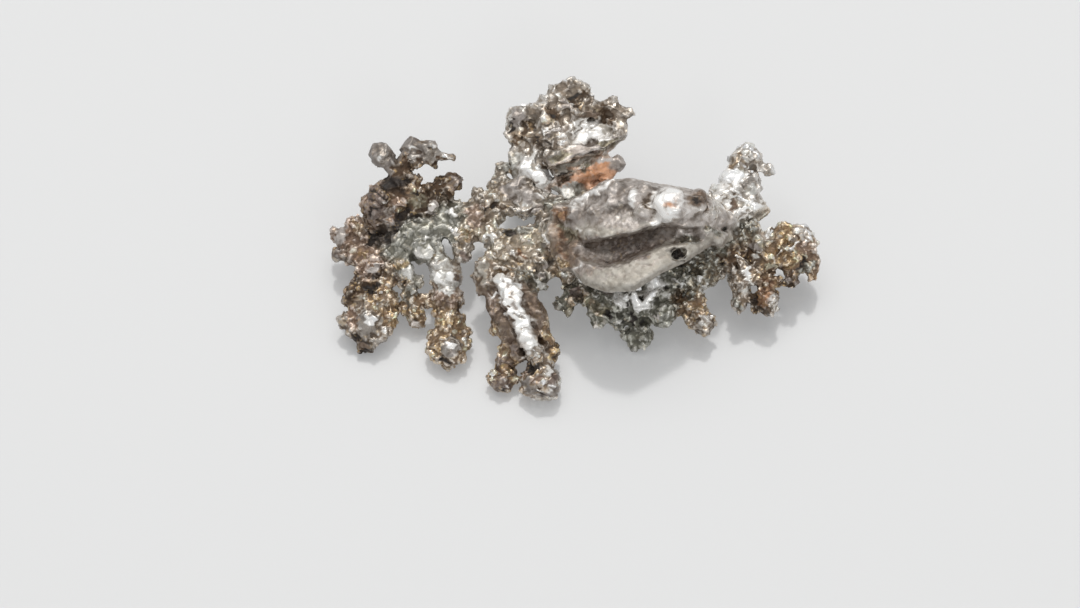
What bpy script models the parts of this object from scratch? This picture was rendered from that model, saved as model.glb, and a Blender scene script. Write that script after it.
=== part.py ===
"""Native silver crystal: a branching group of crude, lumpy crystals that rests on the tips of its lobes.

Run it with: blender --background --python part.py

The group is laid out as it is seen from its best side, looking down at VIEW_TILT. Each place is
(across, up, height): across and up are measured in that view, and height is above the table. A
fourth number is a radius. All are in millimetres, and place() turns them into metres. Each branch
is one solid: its twigs are chains of faceted lumps joined by short rods, fused with a Boolean
union. Where it forks from another branch it is cut back by that branch, grown by GROWN_BY, so
that a narrow gap is left between the two solids.
"""

import math
import random

import bmesh
import bpy
import numpy as np
from mathutils import Matrix, Vector

MM = 0.001
VIEW_TILT = math.radians(60)  # how far the layout view looks down from the horizon
GROWN_BY = 0.46  # a cutter's lumps are this much larger, which leaves a gap of about 0.3 at forks
ROUND_LUMP = 1.4  # lumps from this radius up are round knobs
SHARP_LUMP = 0.72  # lumps under this radius are plain cubes, and those between are cut cubes
KNOB_UNEVEN = (0.93, 1.09)  # how far out a knob's corners lie, as a share of its radius
KNOB_SQUASH = (0.92, 1.08)  # a knob's half width along each axis, as a share of its radius
CORNER_CUT = (0.5, 0.85)  # how much of a cut cube's corners is cut off, where its half width is 1
CUT_CUBE_SIZE = (0.74, 0.9)  # a cut cube's half width along each axis, as a share of its radius
CUBE_SIZE = (0.7, 0.85)  # a plain cube's half width
BUD_SHARE = (0.27, 0.45)  # a bud's half width, as a share of the radius of the lump that it grows on
BUD_SQUASH = (0.7, 1.0)  # how much flatter a bud is along each axis
BUD_SINK = 0.85  # how far out a bud's centre lies, as a share of the lump's radius
ROD_SHARE = 0.84  # a rod's radius, as a share of the radius of the lump at its end
ROD_SIDES = 5
BEVEL_DEPTH = 0.5  # how deep a slab's bevelled edge goes, as a share of the bevel's width
ORDER_DIGITS = 9  # places are compared to this many digits of a metre when corners are sorted
FOOT_PLAY = 0.12  # corners of a foot this close to the table are laid on it
TABLE_SIDE = 80.0
TABLE_DEPTH = 8.0
SIMPLIFIED = 0.35  # the share of its triangles that a fused branch keeps

SILVER = ((0.62, 0.60, 0.57), 0.32)  # colour and roughness
TARNISHED = ((0.30, 0.25, 0.22), 0.42)
COPPERY = ((0.50, 0.36, 0.27), 0.40)


def place(across, up, height):
    """A point of the layout view, in metres."""
    y = (up - height * math.cos(VIEW_TILT)) / math.sin(VIEW_TILT)
    return Vector((across, y, height)) * MM


class Growth:
    """Closed convex shapes collected in one mesh: lumps, rods, spikes and slabs."""

    def __init__(self, seed, grown=0.0):
        self.random = random.Random(seed)
        self.grown = grown
        self.bm = bmesh.new()

    def turned(self):
        """A random rotation."""
        axis = Vector([self.random.gauss(0, 1) for _ in range(3)]).normalized()
        return Matrix.Rotation(self.random.uniform(0, math.pi), 4, axis)

    def put(self, verts, centre, turn, scale):
        """Scales, turns and moves new vertices from the origin to where they belong."""
        moved = Matrix.Translation(centre) @ turn @ Matrix.Diagonal((*scale, 1))
        bmesh.ops.transform(self.bm, matrix=moved, verts=verts)

    def knob(self, centre, radius):
        """A round lump with uneven flat faces."""
        verts = bmesh.ops.create_icosphere(self.bm, subdivisions=2, radius=1)["verts"]
        for vert in verts:
            vert.co *= self.random.uniform(*KNOB_UNEVEN)
        scale = [radius * self.random.uniform(*KNOB_SQUASH) for _ in range(3)]
        self.put(verts, centre, self.turned(), scale)

    def cut_cube(self, centre, radius):
        """A cube with its corners cut off, the usual habit of a small crystal."""
        before = len(self.bm.verts)
        verts = bmesh.ops.create_cube(self.bm, size=2)["verts"]
        bmesh.ops.bevel(
            self.bm, geom=verts, offset=self.random.uniform(*CORNER_CUT), offset_type="OFFSET",
            affect="VERTICES", segments=1, profile=0.5, material=-1, clamp_overlap=True,
        )
        self.bm.verts.ensure_lookup_table()
        scale = [radius * self.random.uniform(*CUT_CUBE_SIZE) for _ in range(3)]
        self.put(self.bm.verts[before:], centre, self.turned(), scale)

    def bud(self, centre, radius):
        """A small cube half sunk in a lump's surface."""
        out = Vector([self.random.gauss(0, 1) for _ in range(3)]).normalized()
        size = radius * self.random.uniform(*BUD_SHARE)
        scale = [(size * self.random.uniform(*BUD_SQUASH) + self.grown) * MM for _ in range(3)]
        verts = bmesh.ops.create_cube(self.bm, size=2)["verts"]
        self.put(verts, centre + out * radius * BUD_SINK * MM, self.turned(), scale)

    def cube(self, centre, radius):
        """A small crystal with nothing cut off."""
        verts = bmesh.ops.create_cube(self.bm, size=2)["verts"]
        scale = [radius * self.random.uniform(*CUBE_SIZE) for _ in range(3)]
        self.put(verts, centre, self.turned(), scale)

    def lump(self, point, buds=0):
        """A faceted lump at (across, up, height, radius), with small crystals growing out of it."""
        *where, radius = point
        centre = place(*where)
        shape = self.knob if radius >= ROUND_LUMP else self.cut_cube
        if radius < SHARP_LUMP:
            shape = self.cube
        shape(centre, (radius + self.grown) * MM)
        for _ in range(buds):
            self.bud(centre, radius)

    def rod(self, start, end, share=ROD_SHARE):
        """A tapered prism between two places."""
        a, b = place(*start[:3]), place(*end[:3])
        radii = [(point[3] * share + self.grown) * MM for point in (start, end)]
        made = bmesh.ops.create_cone(
            self.bm, cap_ends=True, segments=ROD_SIDES,
            radius1=radii[0], radius2=radii[1], depth=(b - a).length + self.grown * MM,
        )
        turn = (b - a).to_track_quat("Z", "Y").to_matrix().to_4x4()
        twist = Matrix.Rotation(self.random.uniform(0, math.pi), 4, "Z")
        self.put(made["verts"], (a + b) / 2, turn @ twist, (1, 1, 1))

    def spike(self, start, end):
        """A pointed crystal that grows from start to end."""
        self.rod(start, end, share=1.0)

    def twig(self, *points, buds=0):
        """A chain of lumps, with a rod between each and the next."""
        self.lump(points[0], buds)
        self.fork(*points, buds=buds)

    def fork(self, start, *points, buds=0):
        """A chain of lumps that grows out of a lump that is already there."""
        for point in points:
            self.rod(start, point)
            self.lump(point, buds)
            start = point

    def slab(self, outline, back, front, inset=0.0):
        """A plate with this outline in the layout view, between two heights, with a bevelled front."""
        before = len(self.bm.verts)
        verts = [self.bm.verts.new(place(across, up, back)) for across, up in outline]
        floor = self.bm.faces.new(verts)
        made = bmesh.ops.extrude_face_region(self.bm, geom=[floor], use_keep_orig=True)["geom"]
        tops = [item for item in made if isinstance(item, bmesh.types.BMVert)]
        bmesh.ops.translate(self.bm, vec=place(0, 0, front) - place(0, 0, back), verts=tops)
        shell = self.faces_round([*verts, *tops])
        bmesh.ops.recalc_face_normals(self.bm, faces=shell)
        lid = next(face for face in shell if set(face.verts) == set(tops))
        if inset:
            bmesh.ops.inset_region(
                self.bm, faces=[lid], thickness=inset * MM, depth=inset * BEVEL_DEPTH * MM,
                use_boundary=True, use_even_offset=True,
            )
        self.swell(before)

    def faces_round(self, verts):
        """The faces that touch these corners, each once and in a fixed order."""
        return list(dict.fromkeys(face for vert in verts for face in vert.link_faces))

    def swell(self, before):
        """Moves the newest shape's faces out by the growth; before is how many corners are older."""
        self.bm.verts.ensure_lookup_table()
        self.bm.normal_update()
        corners = self.bm.verts[before:]
        pushes = [vert.normal * vert.calc_shell_factor() * self.grown * MM for vert in corners]
        for vert, push in zip(corners, pushes):
            vert.co += push

    def loft(self, sections):
        """A solid through closed sections, which all have the same number of points."""
        before = len(self.bm.verts)
        rings = [[self.bm.verts.new(place(*point)) for point in section] for section in sections]
        for ring, following in zip(rings, rings[1:]):
            for i, vert in enumerate(ring):
                self.bm.faces.new((ring[i - 1], vert, following[i], following[i - 1]))
        self.bm.faces.new(rings[0])
        self.bm.faces.new(reversed(rings[-1]))
        self.bm.verts.ensure_lookup_table()
        bmesh.ops.recalc_face_normals(self.bm, faces=self.faces_round(self.bm.verts[before:]))
        self.swell(before)

    def finish(self, name, hidden=True):
        """The collected shapes as an object."""
        mesh = bpy.data.meshes.new(name)
        self.bm.to_mesh(mesh)
        self.bm.free()
        made = bpy.data.objects.new(name, mesh)
        bpy.context.scene.collection.objects.link(made)
        made.hide_render = hidden
        if hidden:
            made.display_type = "WIRE"
        return made


def centre_trunk(g):
    """The lumpy junction in the middle: two strands round a slit, and a leg behind them."""
    top_left = (-10.2, 9.2, 5.8, 0.9)
    left = (-10.4, 7.6, 5.4, 1.0)
    g.twig(top_left, left, (-10.8, 5.9, 5.0, 0.9), (-11.0, 4.8, 4.7, 0.75))
    shoulder = (-8.2, 10.4, 6.4, 1.0)
    g.fork(top_left, (-9.4, 10.7, 6.2, 0.8), shoulder, (-6.9, 10.9, 6.6, 1.0), (-5.9, 11.4, 7.0, 1.0))
    middle = (-4.6, 10.9, 6.8, 1.1)
    upper = (-3.4, 9.9, 6.6, 0.9)
    right = (-2.1, 7.2, 6.4, 0.9)
    g.fork((-5.9, 11.4, 7.0, 1.0), middle, upper, right)
    g.fork(shoulder, (-8.1, 12.0, 6.6, 0.6), (-7.6, 12.8, 6.8, 0.5), (-7.1, 13.6, 7.0, 0.6))
    strand = (-7.4, 6.3, 5.6, 1.25)
    lower = (-5.4, 6.6, 5.6, 1.15)
    g.fork(left, (-8.4, 6.9, 5.6, 1.1), strand, lower)
    g.fork(lower, (-4.2, 6.8, 5.8, 1.05), (-2.9, 6.8, 6.2, 1.0), right)
    g.fork(upper, (-1.4, 9.4, 6.8, 0.9))
    stem = (-1.8, 5.4, 6.0, 0.9)
    g.fork(right, stem, (-1.9, 4.2, 5.6, 0.8), (-1.5, 3.2, 5.2, 0.7))
    g.fork(lower, (-4.6, 4.6, 5.4, 1.1), (-4.3, 3.1, 5.2, 0.9), (-3.4, 1.9, 4.8, 0.6))
    g.fork(right, (0.6, 6.2, 6.2, 1.2), (2.2, 5.9, 6.0, 1.2))
    g.fork(left, (-8.7, 8.7, 5.8, 1.1), (-6.9, 9.8, 6.2, 0.95), (-5.0, 9.6, 6.4, 1.0))
    g.fork(upper, (-2.9, 8.2, 6.3, 1.0))
    g.fork(strand, (-6.4, 4.8, 5.3, 1.1), (-5.3, 3.9, 5.2, 1.1))
    g.fork((-4.2, 6.8, 5.8, 1.05), (-3.5, 4.4, 5.4, 1.2), (-2.6, 3.2, 5.1, 0.9))
    g.fork(stem, (-0.9, 4.0, 5.4, 0.9), (-0.6, 2.9, 5.0, 0.8))
    shin = (-4.2, 10.3, 3.8, 1.35)
    g.fork(middle, (-4.9, 10.6, 5.2, 1.35), shin, (-4.9, 10.4, 2.4, 1.3), (-4.4, 10.2, 1.0, 1.5))
    g.fork(shin, (-3.4, 10.5, 2.8, 0.85))
    g.fork((-4.9, 10.4, 2.4, 1.3), (-5.6, 10.2, 1.6, 0.8))


def left_trunk(g):
    """The pale stem between the middle and the left twigs."""
    root = (-12.0, 8.2, 5.3, 1.0)
    middle = (-15.4, 7.2, 5.2, 1.3)
    end = (-17.4, 5.9, 5.0, 1.4)
    g.twig(root, (-13.4, 7.8, 5.2, 1.3), middle, end)
    g.fork(middle, (-15.6, 5.4, 5.0, 1.3), (-14.4, 5.9, 5.0, 1.2))
    g.fork(end, (-18.2, 4.6, 4.8, 1.0), (-17.0, 4.2, 4.8, 0.9), (-16.7, 2.8, 4.5, 0.9))
    g.fork(root, (-12.3, 9.1, 5.6, 0.8), (-12.8, 9.8, 5.8, 0.65), (-13.5, 10.5, 6.0, 0.6))
    g.fork(root, (-12.2, 6.9, 5.2, 1.0), (-12.7, 6.0, 5.0, 1.0))
    g.fork(end, (-18.7, 5.9, 4.6, 0.9))


def right_trunk(g):
    """The stem that runs under the blade to the right twigs, and its leg."""
    middle = (14.6, 4.9, 5.2, 1.1)
    g.twig((3.0, 5.7, 6.0, 1.1), (5.3, 5.6, 5.8, 1.1), (7.6, 5.4, 5.6, 1.1), (10.1, 4.8, 5.4, 1.0))
    g.fork((10.1, 4.8, 5.4, 1.0), (11.7, 4.6, 5.2, 0.9), (13.1, 4.8, 5.2, 1.0), middle, (16.1, 5.4, 5.2, 1.0))
    g.fork((16.1, 5.4, 5.2, 1.0), (15.8, 6.9, 5.8, 0.9))
    g.fork(middle, (15.2, 4.0, 4.9, 0.95))
    shin = (14.3, 5.4, 3.7, 1.3)
    g.fork(middle, shin, (14.9, 5.3, 2.3, 1.2), (14.5, 5.4, 0.9, 1.45))
    g.fork(shin, (15.4, 5.3, 3.0, 0.8))
    g.fork((14.9, 5.3, 2.3, 1.2), (13.9, 5.0, 1.8, 0.75))


def left_crest(g):
    """The dark upper left branch, with three knobs, a beak and an arm."""
    root = (-17.4, 7.6, 5.4, 1.4)
    body = (-19.3, 10.6, 7.4, 1.5)
    heart = (-17.6, 9.9, 6.6, 1.3)
    g.twig(root, (-19.6, 8.6, 6.2, 1.5), body, heart)
    neck = (-17.6, 12.4, 8.0, 0.95)
    throat = (-16.9, 13.9, 8.5, 0.85)
    g.fork(heart, neck, (-18.2, 13.7, 8.4, 0.8), (-19.2, 14.9, 8.6, 1.2))
    g.fork(neck, throat, (-16.2, 15.6, 9.0, 0.95), (-14.4, 15.5, 9.5, 0.85))
    g.fork(throat, (-15.5, 14.4, 8.9, 0.8), (-14.1, 14.3, 8.8, 0.7))
    g.spike((-14.0, 14.9, 9.3, 0.65), (-12.1, 14.4, 8.8, 0.2))
    arm = (-15.8, 10.6, 6.6, 1.25)
    hand = (-12.2, 12.2, 7.2, 0.95)
    g.fork(body, arm, (-13.9, 9.7, 6.0, 1.0), (-14.9, 8.8, 5.6, 1.0))
    g.fork(arm, (-14.4, 11.3, 6.8, 0.9), (-13.3, 11.9, 7.0, 0.9), hand)
    g.fork(hand, (-12.3, 11.0, 6.9, 0.5))
    g.fork(heart, (-16.2, 12.4, 7.6, 0.75))
    g.fork(root, (-16.2, 8.8, 5.4, 0.9))


def left_tip(g):
    """The pinkish far left twig."""
    palm = (-20.6, 4.2, 3.7, 1.1)
    back = (-22.2, 4.9, 3.4, 1.0)
    fist = (-22.9, 6.5, 3.6, 0.9)
    knuckle = (-21.8, 7.9, 4.0, 0.8)
    g.twig((-19.6, 4.8, 4.2, 0.85), palm, back, fist)
    g.fork(fist, knuckle, buds=1)
    g.fork(fist, (-23.9, 7.0, 3.6, 0.65))
    g.fork(back, (-23.6, 4.9, 3.3, 0.6))
    g.fork(palm, (-20.0, 3.3, 3.4, 0.8))
    g.fork(palm, (-20.2, 5.4, 4.0, 1.0), (-20.8, 6.7, 4.2, 1.1), knuckle)
    g.fork(fist, (-21.8, 6.2, 3.6, 0.75))


def left_foot(g):
    """The lower left branch, which rests on its big round lobe."""
    g.twig((-17.9, 2.9, 4.3, 0.85), (-18.9, 1.8, 3.9, 1.0), (-20.2, 2.0, 3.6, 1.1), (-21.2, 1.5, 3.3, 1.2))
    lobe = (-20.4, -1.6, 1.75, 2.15)
    g.fork((-21.2, 1.5, 3.3, 1.2), (-21.8, 0.1, 2.8, 0.9), lobe, buds=1)
    g.fork((-18.9, 1.8, 3.9, 1.0), (-19.6, 0.5, 3.0, 1.2), (-18.4, -1.2, 2.2, 0.95))
    g.fork(lobe, (-22.7, -1.5, 2.0, 0.7))
    g.fork((-19.6, 0.5, 3.0, 1.2), (-20.3, 0.5, 3.2, 1.2))
    g.fork((-18.4, -1.2, 2.2, 0.95), (-18.7, -2.5, 1.9, 0.85))
    g.fork(lobe, (-20.6, -3.5, 1.3, 1.15), (-21.3, -4.7, 0.7, 0.4))


def small_finger(g):
    """The short finger between the left foot and the left finger."""
    g.twig((-16.4, 1.7, 4.0, 0.8), (-16.0, 0.1, 2.6, 1.05), (-15.7, -1.3, 1.4, 1.05))


def left_finger(g):
    """The second finger, a thick stem that ends in a round knob on the table."""
    g.twig((-13.6, 5.4, 5.0, 1.25), (-13.2, 4.0, 4.6, 1.4), (-12.8, 2.4, 4.0, 1.6), (-12.7, 0.6, 3.4, 1.55))
    knob = (-12.5, -4.4, 1.55, 1.75)
    g.fork((-12.7, 0.6, 3.4, 1.55), (-12.5, -1.5, 2.6, 1.45), knob, buds=1)
    g.fork(knob, (-14.0, -4.5, 1.5, 0.8))
    g.fork(knob, (-10.9, -4.0, 1.7, 0.8))
    g.fork(knob, (-12.4, -5.7, 1.0, 0.8))


def long_finger(g):
    """The longest finger: a bright crest between two flanks, ending in two knobs on the table."""
    root = (-8.2, 1.9, 4.8, 1.2)
    left_end = (-5.7, -4.8, 2.3, 1.35)
    g.twig((-7.4, 3.3, 5.3, 0.9), (-8.6, 3.6, 5.3, 1.1), root)
    g.fork(root, (-7.5, 0.0, 4.2, 1.4), (-6.9, -2.0, 3.6, 1.5), left_end)
    shoulder = (-6.2, 2.3, 5.1, 1.1)
    right_end = (-2.8, -4.6, 2.4, 1.3)
    g.fork(root, shoulder, (-4.9, 0.5, 4.4, 1.35), (-3.8, -1.4, 3.8, 1.4), right_end)
    crest = (-5.4, -1.5, 5.0, 1.0)
    g.fork(shoulder, (-7.2, 2.1, 6.1, 0.8), (-6.3, 0.4, 5.7, 0.9), crest, buds=1)
    g.fork(crest, (-4.6, -3.3, 4.3, 1.0), (-3.9, -5.0, 3.5, 0.9), buds=1)
    g.fork(left_end, (-6.9, -5.8, 1.8, 1.0), (-7.1, -7.4, 1.15, 1.3), buds=1)
    g.fork(right_end, (-3.3, -6.1, 2.0, 1.3), (-3.3, -7.8, 1.72, 1.95), buds=1)
    g.fork(root, (-9.5, 2.6, 4.7, 0.55), (-9.4, 1.3, 4.4, 0.45))


def crown(g):
    """The tallest branch: a bright stem that carries a lumpy head, with a hollow face and two lips."""
    stem = (-4.4, 13.3, 7.6, 1.35)
    knee = (-5.3, 15.6, 8.2, 0.9)
    neck = (-3.4, 16.0, 9.2, 1.1)
    g.twig((-3.5, 11.9, 7.2, 1.05), stem, (-5.6, 13.9, 7.4, 0.95), (-5.9, 14.9, 7.7, 0.8), knee)
    left = (-5.4, 18.5, 9.4, 1.3)
    brow = (-3.4, 19.1, 9.8, 1.25)
    middle = (-2.7, 17.9, 9.6, 1.4)
    g.fork(knee, (-5.8, 16.9, 8.8, 1.05), left, brow, middle)
    g.fork(stem, neck, middle)
    g.fork(neck, (-4.7, 16.7, 9.0, 1.0), left)
    g.fork(middle, (-1.7, 16.3, 9.4, 1.1), (-0.4, 17.6, 9.5, 1.0))
    top = (-0.9, 19.9, 10.2, 1.0)
    ring_end = (0.8, 21.5, 10.4, 0.95)
    g.fork(middle, top, (-1.8, 21.2, 10.2, 0.95), (-0.6, 21.8, 10.4, 0.85), ring_end)
    g.fork(ring_end, (1.4, 20.5, 10.2, 0.7))
    g.fork(brow, (-2.9, 20.4, 10.0, 0.75))
    horn = (4.7, 19.2, 10.3, 0.7)
    g.fork(top, (0.3, 19.2, 10.1, 1.0), (2.3, 19.4, 10.3, 0.85), (3.6, 19.9, 10.5, 0.8), horn)
    g.spike((4.6, 19.2, 10.3, 0.65), (6.1, 19.0, 10.1, 0.2))
    g.fork(horn, (4.0, 18.2, 9.9, 0.7), (4.5, 17.3, 9.7, 0.75))
    face = ((-1.2, 18.6), (3.8, 19.0), (4.4, 17.4), (1.4, 15.4), (-1.6, 15.0))
    g.slab(face, back=8.0, front=9.1)
    lip_top = ((-3.0, 14.8), (-1.2, 15.6), (1.2, 16.0), (3.2, 16.7), (5.0, 17.6))
    lip_bottom = ((5.3, 16.8), (3.0, 15.5), (0.4, 14.7), (-2.6, 13.4))
    g.slab(lip_top + lip_bottom, back=8.4, front=10.2, inset=0.25)
    lower_lip = ((-2.6, 14.0), (0.2, 14.7), (2.0, 15.3), (2.2, 14.7), (0.4, 13.8), (-1.8, 12.6))
    g.slab(lower_lip, back=7.4, front=8.9, inset=0.2)
    g.fork(top, (0.3, 20.3, 9.4, 0.9), (3.4, 19.1, 9.5, 0.75))
    g.fork(middle, (-2.1, 20.0, 9.4, 0.85), (-0.7, 18.7, 9.0, 0.9))
    g.fork(neck, (-4.0, 17.5, 8.8, 0.95), (-2.3, 15.3, 8.6, 0.9))


def tongue(g):
    """The coppery twig under the crown's lips, and the sheet below it."""
    tip = (3.0, 13.6, 7.9, 1.15)
    g.twig((-2.0, 12.2, 7.2, 0.85), (-0.9, 12.5, 7.4, 0.9), (0.3, 12.6, 7.6, 1.0), (1.8, 13.1, 7.8, 0.9), tip)
    g.fork(tip, (4.3, 14.0, 8.0, 0.75))
    g.fork(tip, (3.2, 12.4, 7.7, 0.6))
    sheet = ((-1.6, 12.4), (0.4, 12.6), (2.4, 12.9), (2.8, 12.0), (1.2, 11.0), (0.2, 10.4), (-1.3, 10.3))
    g.slab(sheet, back=6.6, front=7.3, inset=0.15)


# The blade's sections from left to right: across, then up at its top edge, at the groove's two
# edges and at its bottom edge, then the heights of its top plate, its lower rim and the groove's floor.
BLADE_SECTIONS = (
    (-2.1, 8.8, 7.7, 7.0, 5.6, 8.6, 8.4, 8.2),
    (-0.8, 10.3, 7.2, 5.4, 3.5, 9.8, 9.2, 9.0),
    (1.1, 11.1, 6.3, 3.9, 1.8, 11.0, 10.2, 8.8),
    (3.1, 12.4, 6.6, 3.5, 1.1, 12.0, 10.8, 9.2),
    (5.8, 12.5, 7.1, 4.2, 1.2, 12.8, 11.4, 9.8),
    (8.6, 11.9, 7.9, 5.5, 3.0, 13.2, 11.7, 10.2),
    (11.0, 11.5, 7.6, 5.9, 4.1, 12.8, 11.4, 10.2),
    (13.2, 11.0, 7.6, 6.4, 5.4, 11.2, 10.4, 9.6),
    (14.4, 9.4, 7.7, 7.0, 6.4, 9.6, 9.2, 9.0),
)
BLADE_EDGE = 1.3  # how far the blade's edges lie under its faces
BLADE_BACK = 1.2  # its thickness under the groove
GROOVE_SLOPE = 0.15  # how far the groove's walls lean in, as a share of its width
PLATE_EDGE = 0.8  # how far the top plate's flat part stays from its top edge
LIP_EDGE = 0.6  # how far the lower rim's flat part stays from its bottom edge
FACE_DROP = 0.3  # how much lower the faces are at their outer sides


def blade(g):
    """The broad hollow plate that arches over the right trunk, with a deep groove along it."""
    sections = []
    for across, top, ledge, rim, bottom, plate, lip, floor in BLADE_SECTIONS:
        slope = (ledge - rim) * GROOVE_SLOPE
        back = floor - BLADE_BACK
        section = [
            (top, plate - BLADE_EDGE), (top - PLATE_EDGE, plate), (ledge, plate - FACE_DROP),
            (ledge - slope, floor), (rim + slope, floor),
            (rim, lip), (bottom + LIP_EDGE, lip - FACE_DROP), (bottom, lip - BLADE_EDGE),
            ((rim + bottom) / 2, back), (ledge, back), (top * 0.7 + ledge * 0.3, plate - 2 * BLADE_EDGE),
        ]
        sections.append([(across, up, height) for up, height in section])
    g.loft(sections)
    g.lump((9.4, 9.7, 13.2, 1.75))
    g.twig((6.0, 10.4, 12.6, 0.95), (3.8, 9.8, 12.0, 0.85), (2.0, 8.9, 11.2, 0.9))
    g.lump((6.7, 9.0, 13.0, 0.9))
    g.lump((4.2, 11.2, 12.2, 0.8))
    g.lump((11.9, 9.7, 12.4, 1.0))
    g.lump((0.2, 8.8, 10.2, 0.9))
    g.fork((-1.2, 8.8, 8.8, 0.9), (-1.9, 7.2, 8.2, 0.9), (-1.5, 5.4, 8.2, 0.9), (-0.4, 4.0, 8.4, 0.9))
    g.twig((13.2, 9.2, 10.6, 1.1), (14.4, 8.6, 9.2, 0.9), (15.4, 8.2, 8.4, 0.8))
    g.twig((13.0, 7.0, 10.0, 0.9), (14.3, 6.5, 8.4, 0.9), (14.9, 6.6, 7.4, 0.8))
    g.twig((0.2, 5.2, 8.6, 1.2), (-0.2, 5.8, 7.2, 1.2), (-0.4, 6.0, 6.2, 1.1))


def right_crest(g):
    """The bright branch at the upper right, with a knob and a nub at its end."""
    root = (16.1, 9.2, 7.2, 1.25)
    body = (15.4, 10.9, 8.0, 1.35)
    wing = (17.2, 10.6, 7.6, 1.3)
    neck = (15.9, 12.4, 8.4, 1.3)
    knob = (17.2, 14.8, 9.0, 1.15)
    nub = (18.2, 14.3, 8.8, 0.7)
    g.twig((15.5, 8.0, 6.7, 0.95), root, wing, body, neck)
    g.fork(neck, (16.5, 13.6, 8.7, 1.0), knob, nub)
    g.fork(knob, (16.2, 14.5, 8.8, 0.8))
    g.fork(nub, (18.4, 13.6, 8.6, 0.5), (19.3, 13.4, 8.4, 0.65))
    g.fork(neck, (17.6, 12.2, 8.2, 0.95))
    g.fork(wing, (17.8, 9.6, 7.2, 1.0), (18.8, 9.5, 7.0, 0.65))
    g.fork(root, (14.9, 9.6, 7.5, 1.0), (14.5, 8.6, 7.3, 0.8))
    g.fork(body, (14.4, 10.8, 8.4, 0.85), (13.8, 11.4, 8.6, 0.45))


def right_end(g):
    """The far right branch: a cluster of knobs with gold-brown flanks and a spiky tip."""
    inner = (18.3, 6.4, 5.4, 0.95)
    waist = (19.4, 6.0, 5.2, 0.85)
    big = (22.4, 6.6, 5.0, 1.4)
    tip = (23.4, 5.6, 4.6, 0.95)
    hook = (23.6, 4.2, 3.7, 0.75)
    low = (19.6, 4.7, 4.6, 0.9)
    g.twig((17.4, 7.6, 6.0, 0.95), inner, waist, (20.9, 6.8, 5.2, 1.15), big)
    g.fork(big, tip, (22.4, 4.7, 4.4, 0.95))
    g.fork(big, (21.6, 4.9, 4.6, 1.2), (21.1, 3.9, 4.2, 0.95), (22.0, 3.5, 4.0, 0.85), (21.7, 2.3, 3.8, 0.7))
    g.fork(waist, low, (19.2, 3.7, 4.4, 0.9))
    g.fork(inner, (18.5, 5.2, 4.9, 0.95), low, (20.5, 5.4, 4.7, 1.0))
    g.fork(tip, hook)
    g.spike(hook, (24.6, 3.7, 3.6, 0.2))
    g.spike(hook, (23.5, 2.2, 3.3, 0.2))


def right_claws(g):
    """Two claws that hang below the right branch."""
    root = (16.1, 3.7, 4.8, 1.25)
    wrist = (16.6, 2.2, 4.2, 1.1)
    claw = (16.4, 0.6, 3.5, 0.75)
    knob = (19.2, 0.3, 3.2, 1.25)
    g.twig(root, wrist, claw)
    g.spike(claw, (16.4, -1.1, 2.9, 0.2))
    g.fork(wrist, (17.4, 0.6, 3.4, 0.5))
    g.fork(root, (17.8, 2.9, 4.6, 0.8), (19.2, 2.0, 3.9, 0.95), knob, buds=1)
    g.fork(knob, (18.2, -0.3, 3.0, 0.55))


def low_cluster(g):
    """The greenish cluster under the blade, with bright flat plates, resting on its lowest lobe."""
    left = (-0.3, 1.8, 4.4, 0.95)
    thorn = (-0.4, 0.5, 3.7, 0.8)
    inner = (1.6, 0.8, 4.1, 0.95)
    middle = (3.8, 0.5, 4.2, 0.9)
    centre = (6.4, -0.4, 3.7, 1.2)
    right = (8.5, -0.7, 3.6, 1.3)
    g.twig(left, inner, middle, centre, right)
    g.fork(left, thorn)
    g.spike(thorn, (-0.6, -1.4, 3.0, 0.2))
    g.spike(thorn, (-1.7, -0.6, 3.1, 0.25))
    g.fork(inner, (2.3, -0.8, 3.4, 0.85), (2.1, -1.9, 3.0, 0.55))
    g.fork(middle, (3.8, -1.1, 3.4, 0.8), (4.4, -2.1, 2.8, 0.55))
    g.fork(centre, (6.5, -1.9, 2.5, 1.1), (6.4, -3.1, 1.05, 1.25), buds=1)
    crotch = (8.6, 1.2, 4.4, 1.1)
    root = (9.0, 2.8, 5.0, 1.0)
    g.fork(right, crotch, (10.0, 1.8, 4.5, 0.8))
    g.fork(crotch, root, (10.5, 3.2, 4.8, 0.8))
    g.fork(root, (7.4, 2.2, 5.4, 0.9), (7.0, 3.6, 6.2, 0.9))
    g.fork(middle, (5.2, 1.0, 4.4, 1.0), centre)
    g.slab(((3.9, 1.2), (5.2, 1.1), (5.5, -0.3), (4.2, -0.4)), back=4.2, front=5.3, inset=0.1)
    g.slab(((5.7, 1.2), (7.5, 1.4), (7.6, -0.4), (5.9, -0.6)), back=4.0, front=5.2, inset=0.1)
    g.slab(((7.2, 2.4), (8.7, 2.4), (8.8, 1.3), (7.3, 1.3)), back=4.2, front=5.6, inset=0.1)


def right_finger(g):
    """The stubby finger to the right of the low cluster."""
    root = (12.9, 3.2, 4.6, 0.9)
    knob = (12.1, -1.2, 3.0, 1.45)
    tip = (12.9, -2.0, 2.7, 0.9)
    g.twig(root, (11.6, 2.2, 4.4, 0.95), (11.7, 0.4, 3.8, 1.3), knob, buds=1)
    g.fork(knob, tip, (13.0, -2.9, 2.4, 0.45))
    g.fork(root, (13.1, 2.5, 4.5, 0.95))
    g.spike((12.9, -1.0, 3.0, 0.5), (13.9, -1.4, 2.8, 0.2))


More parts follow.
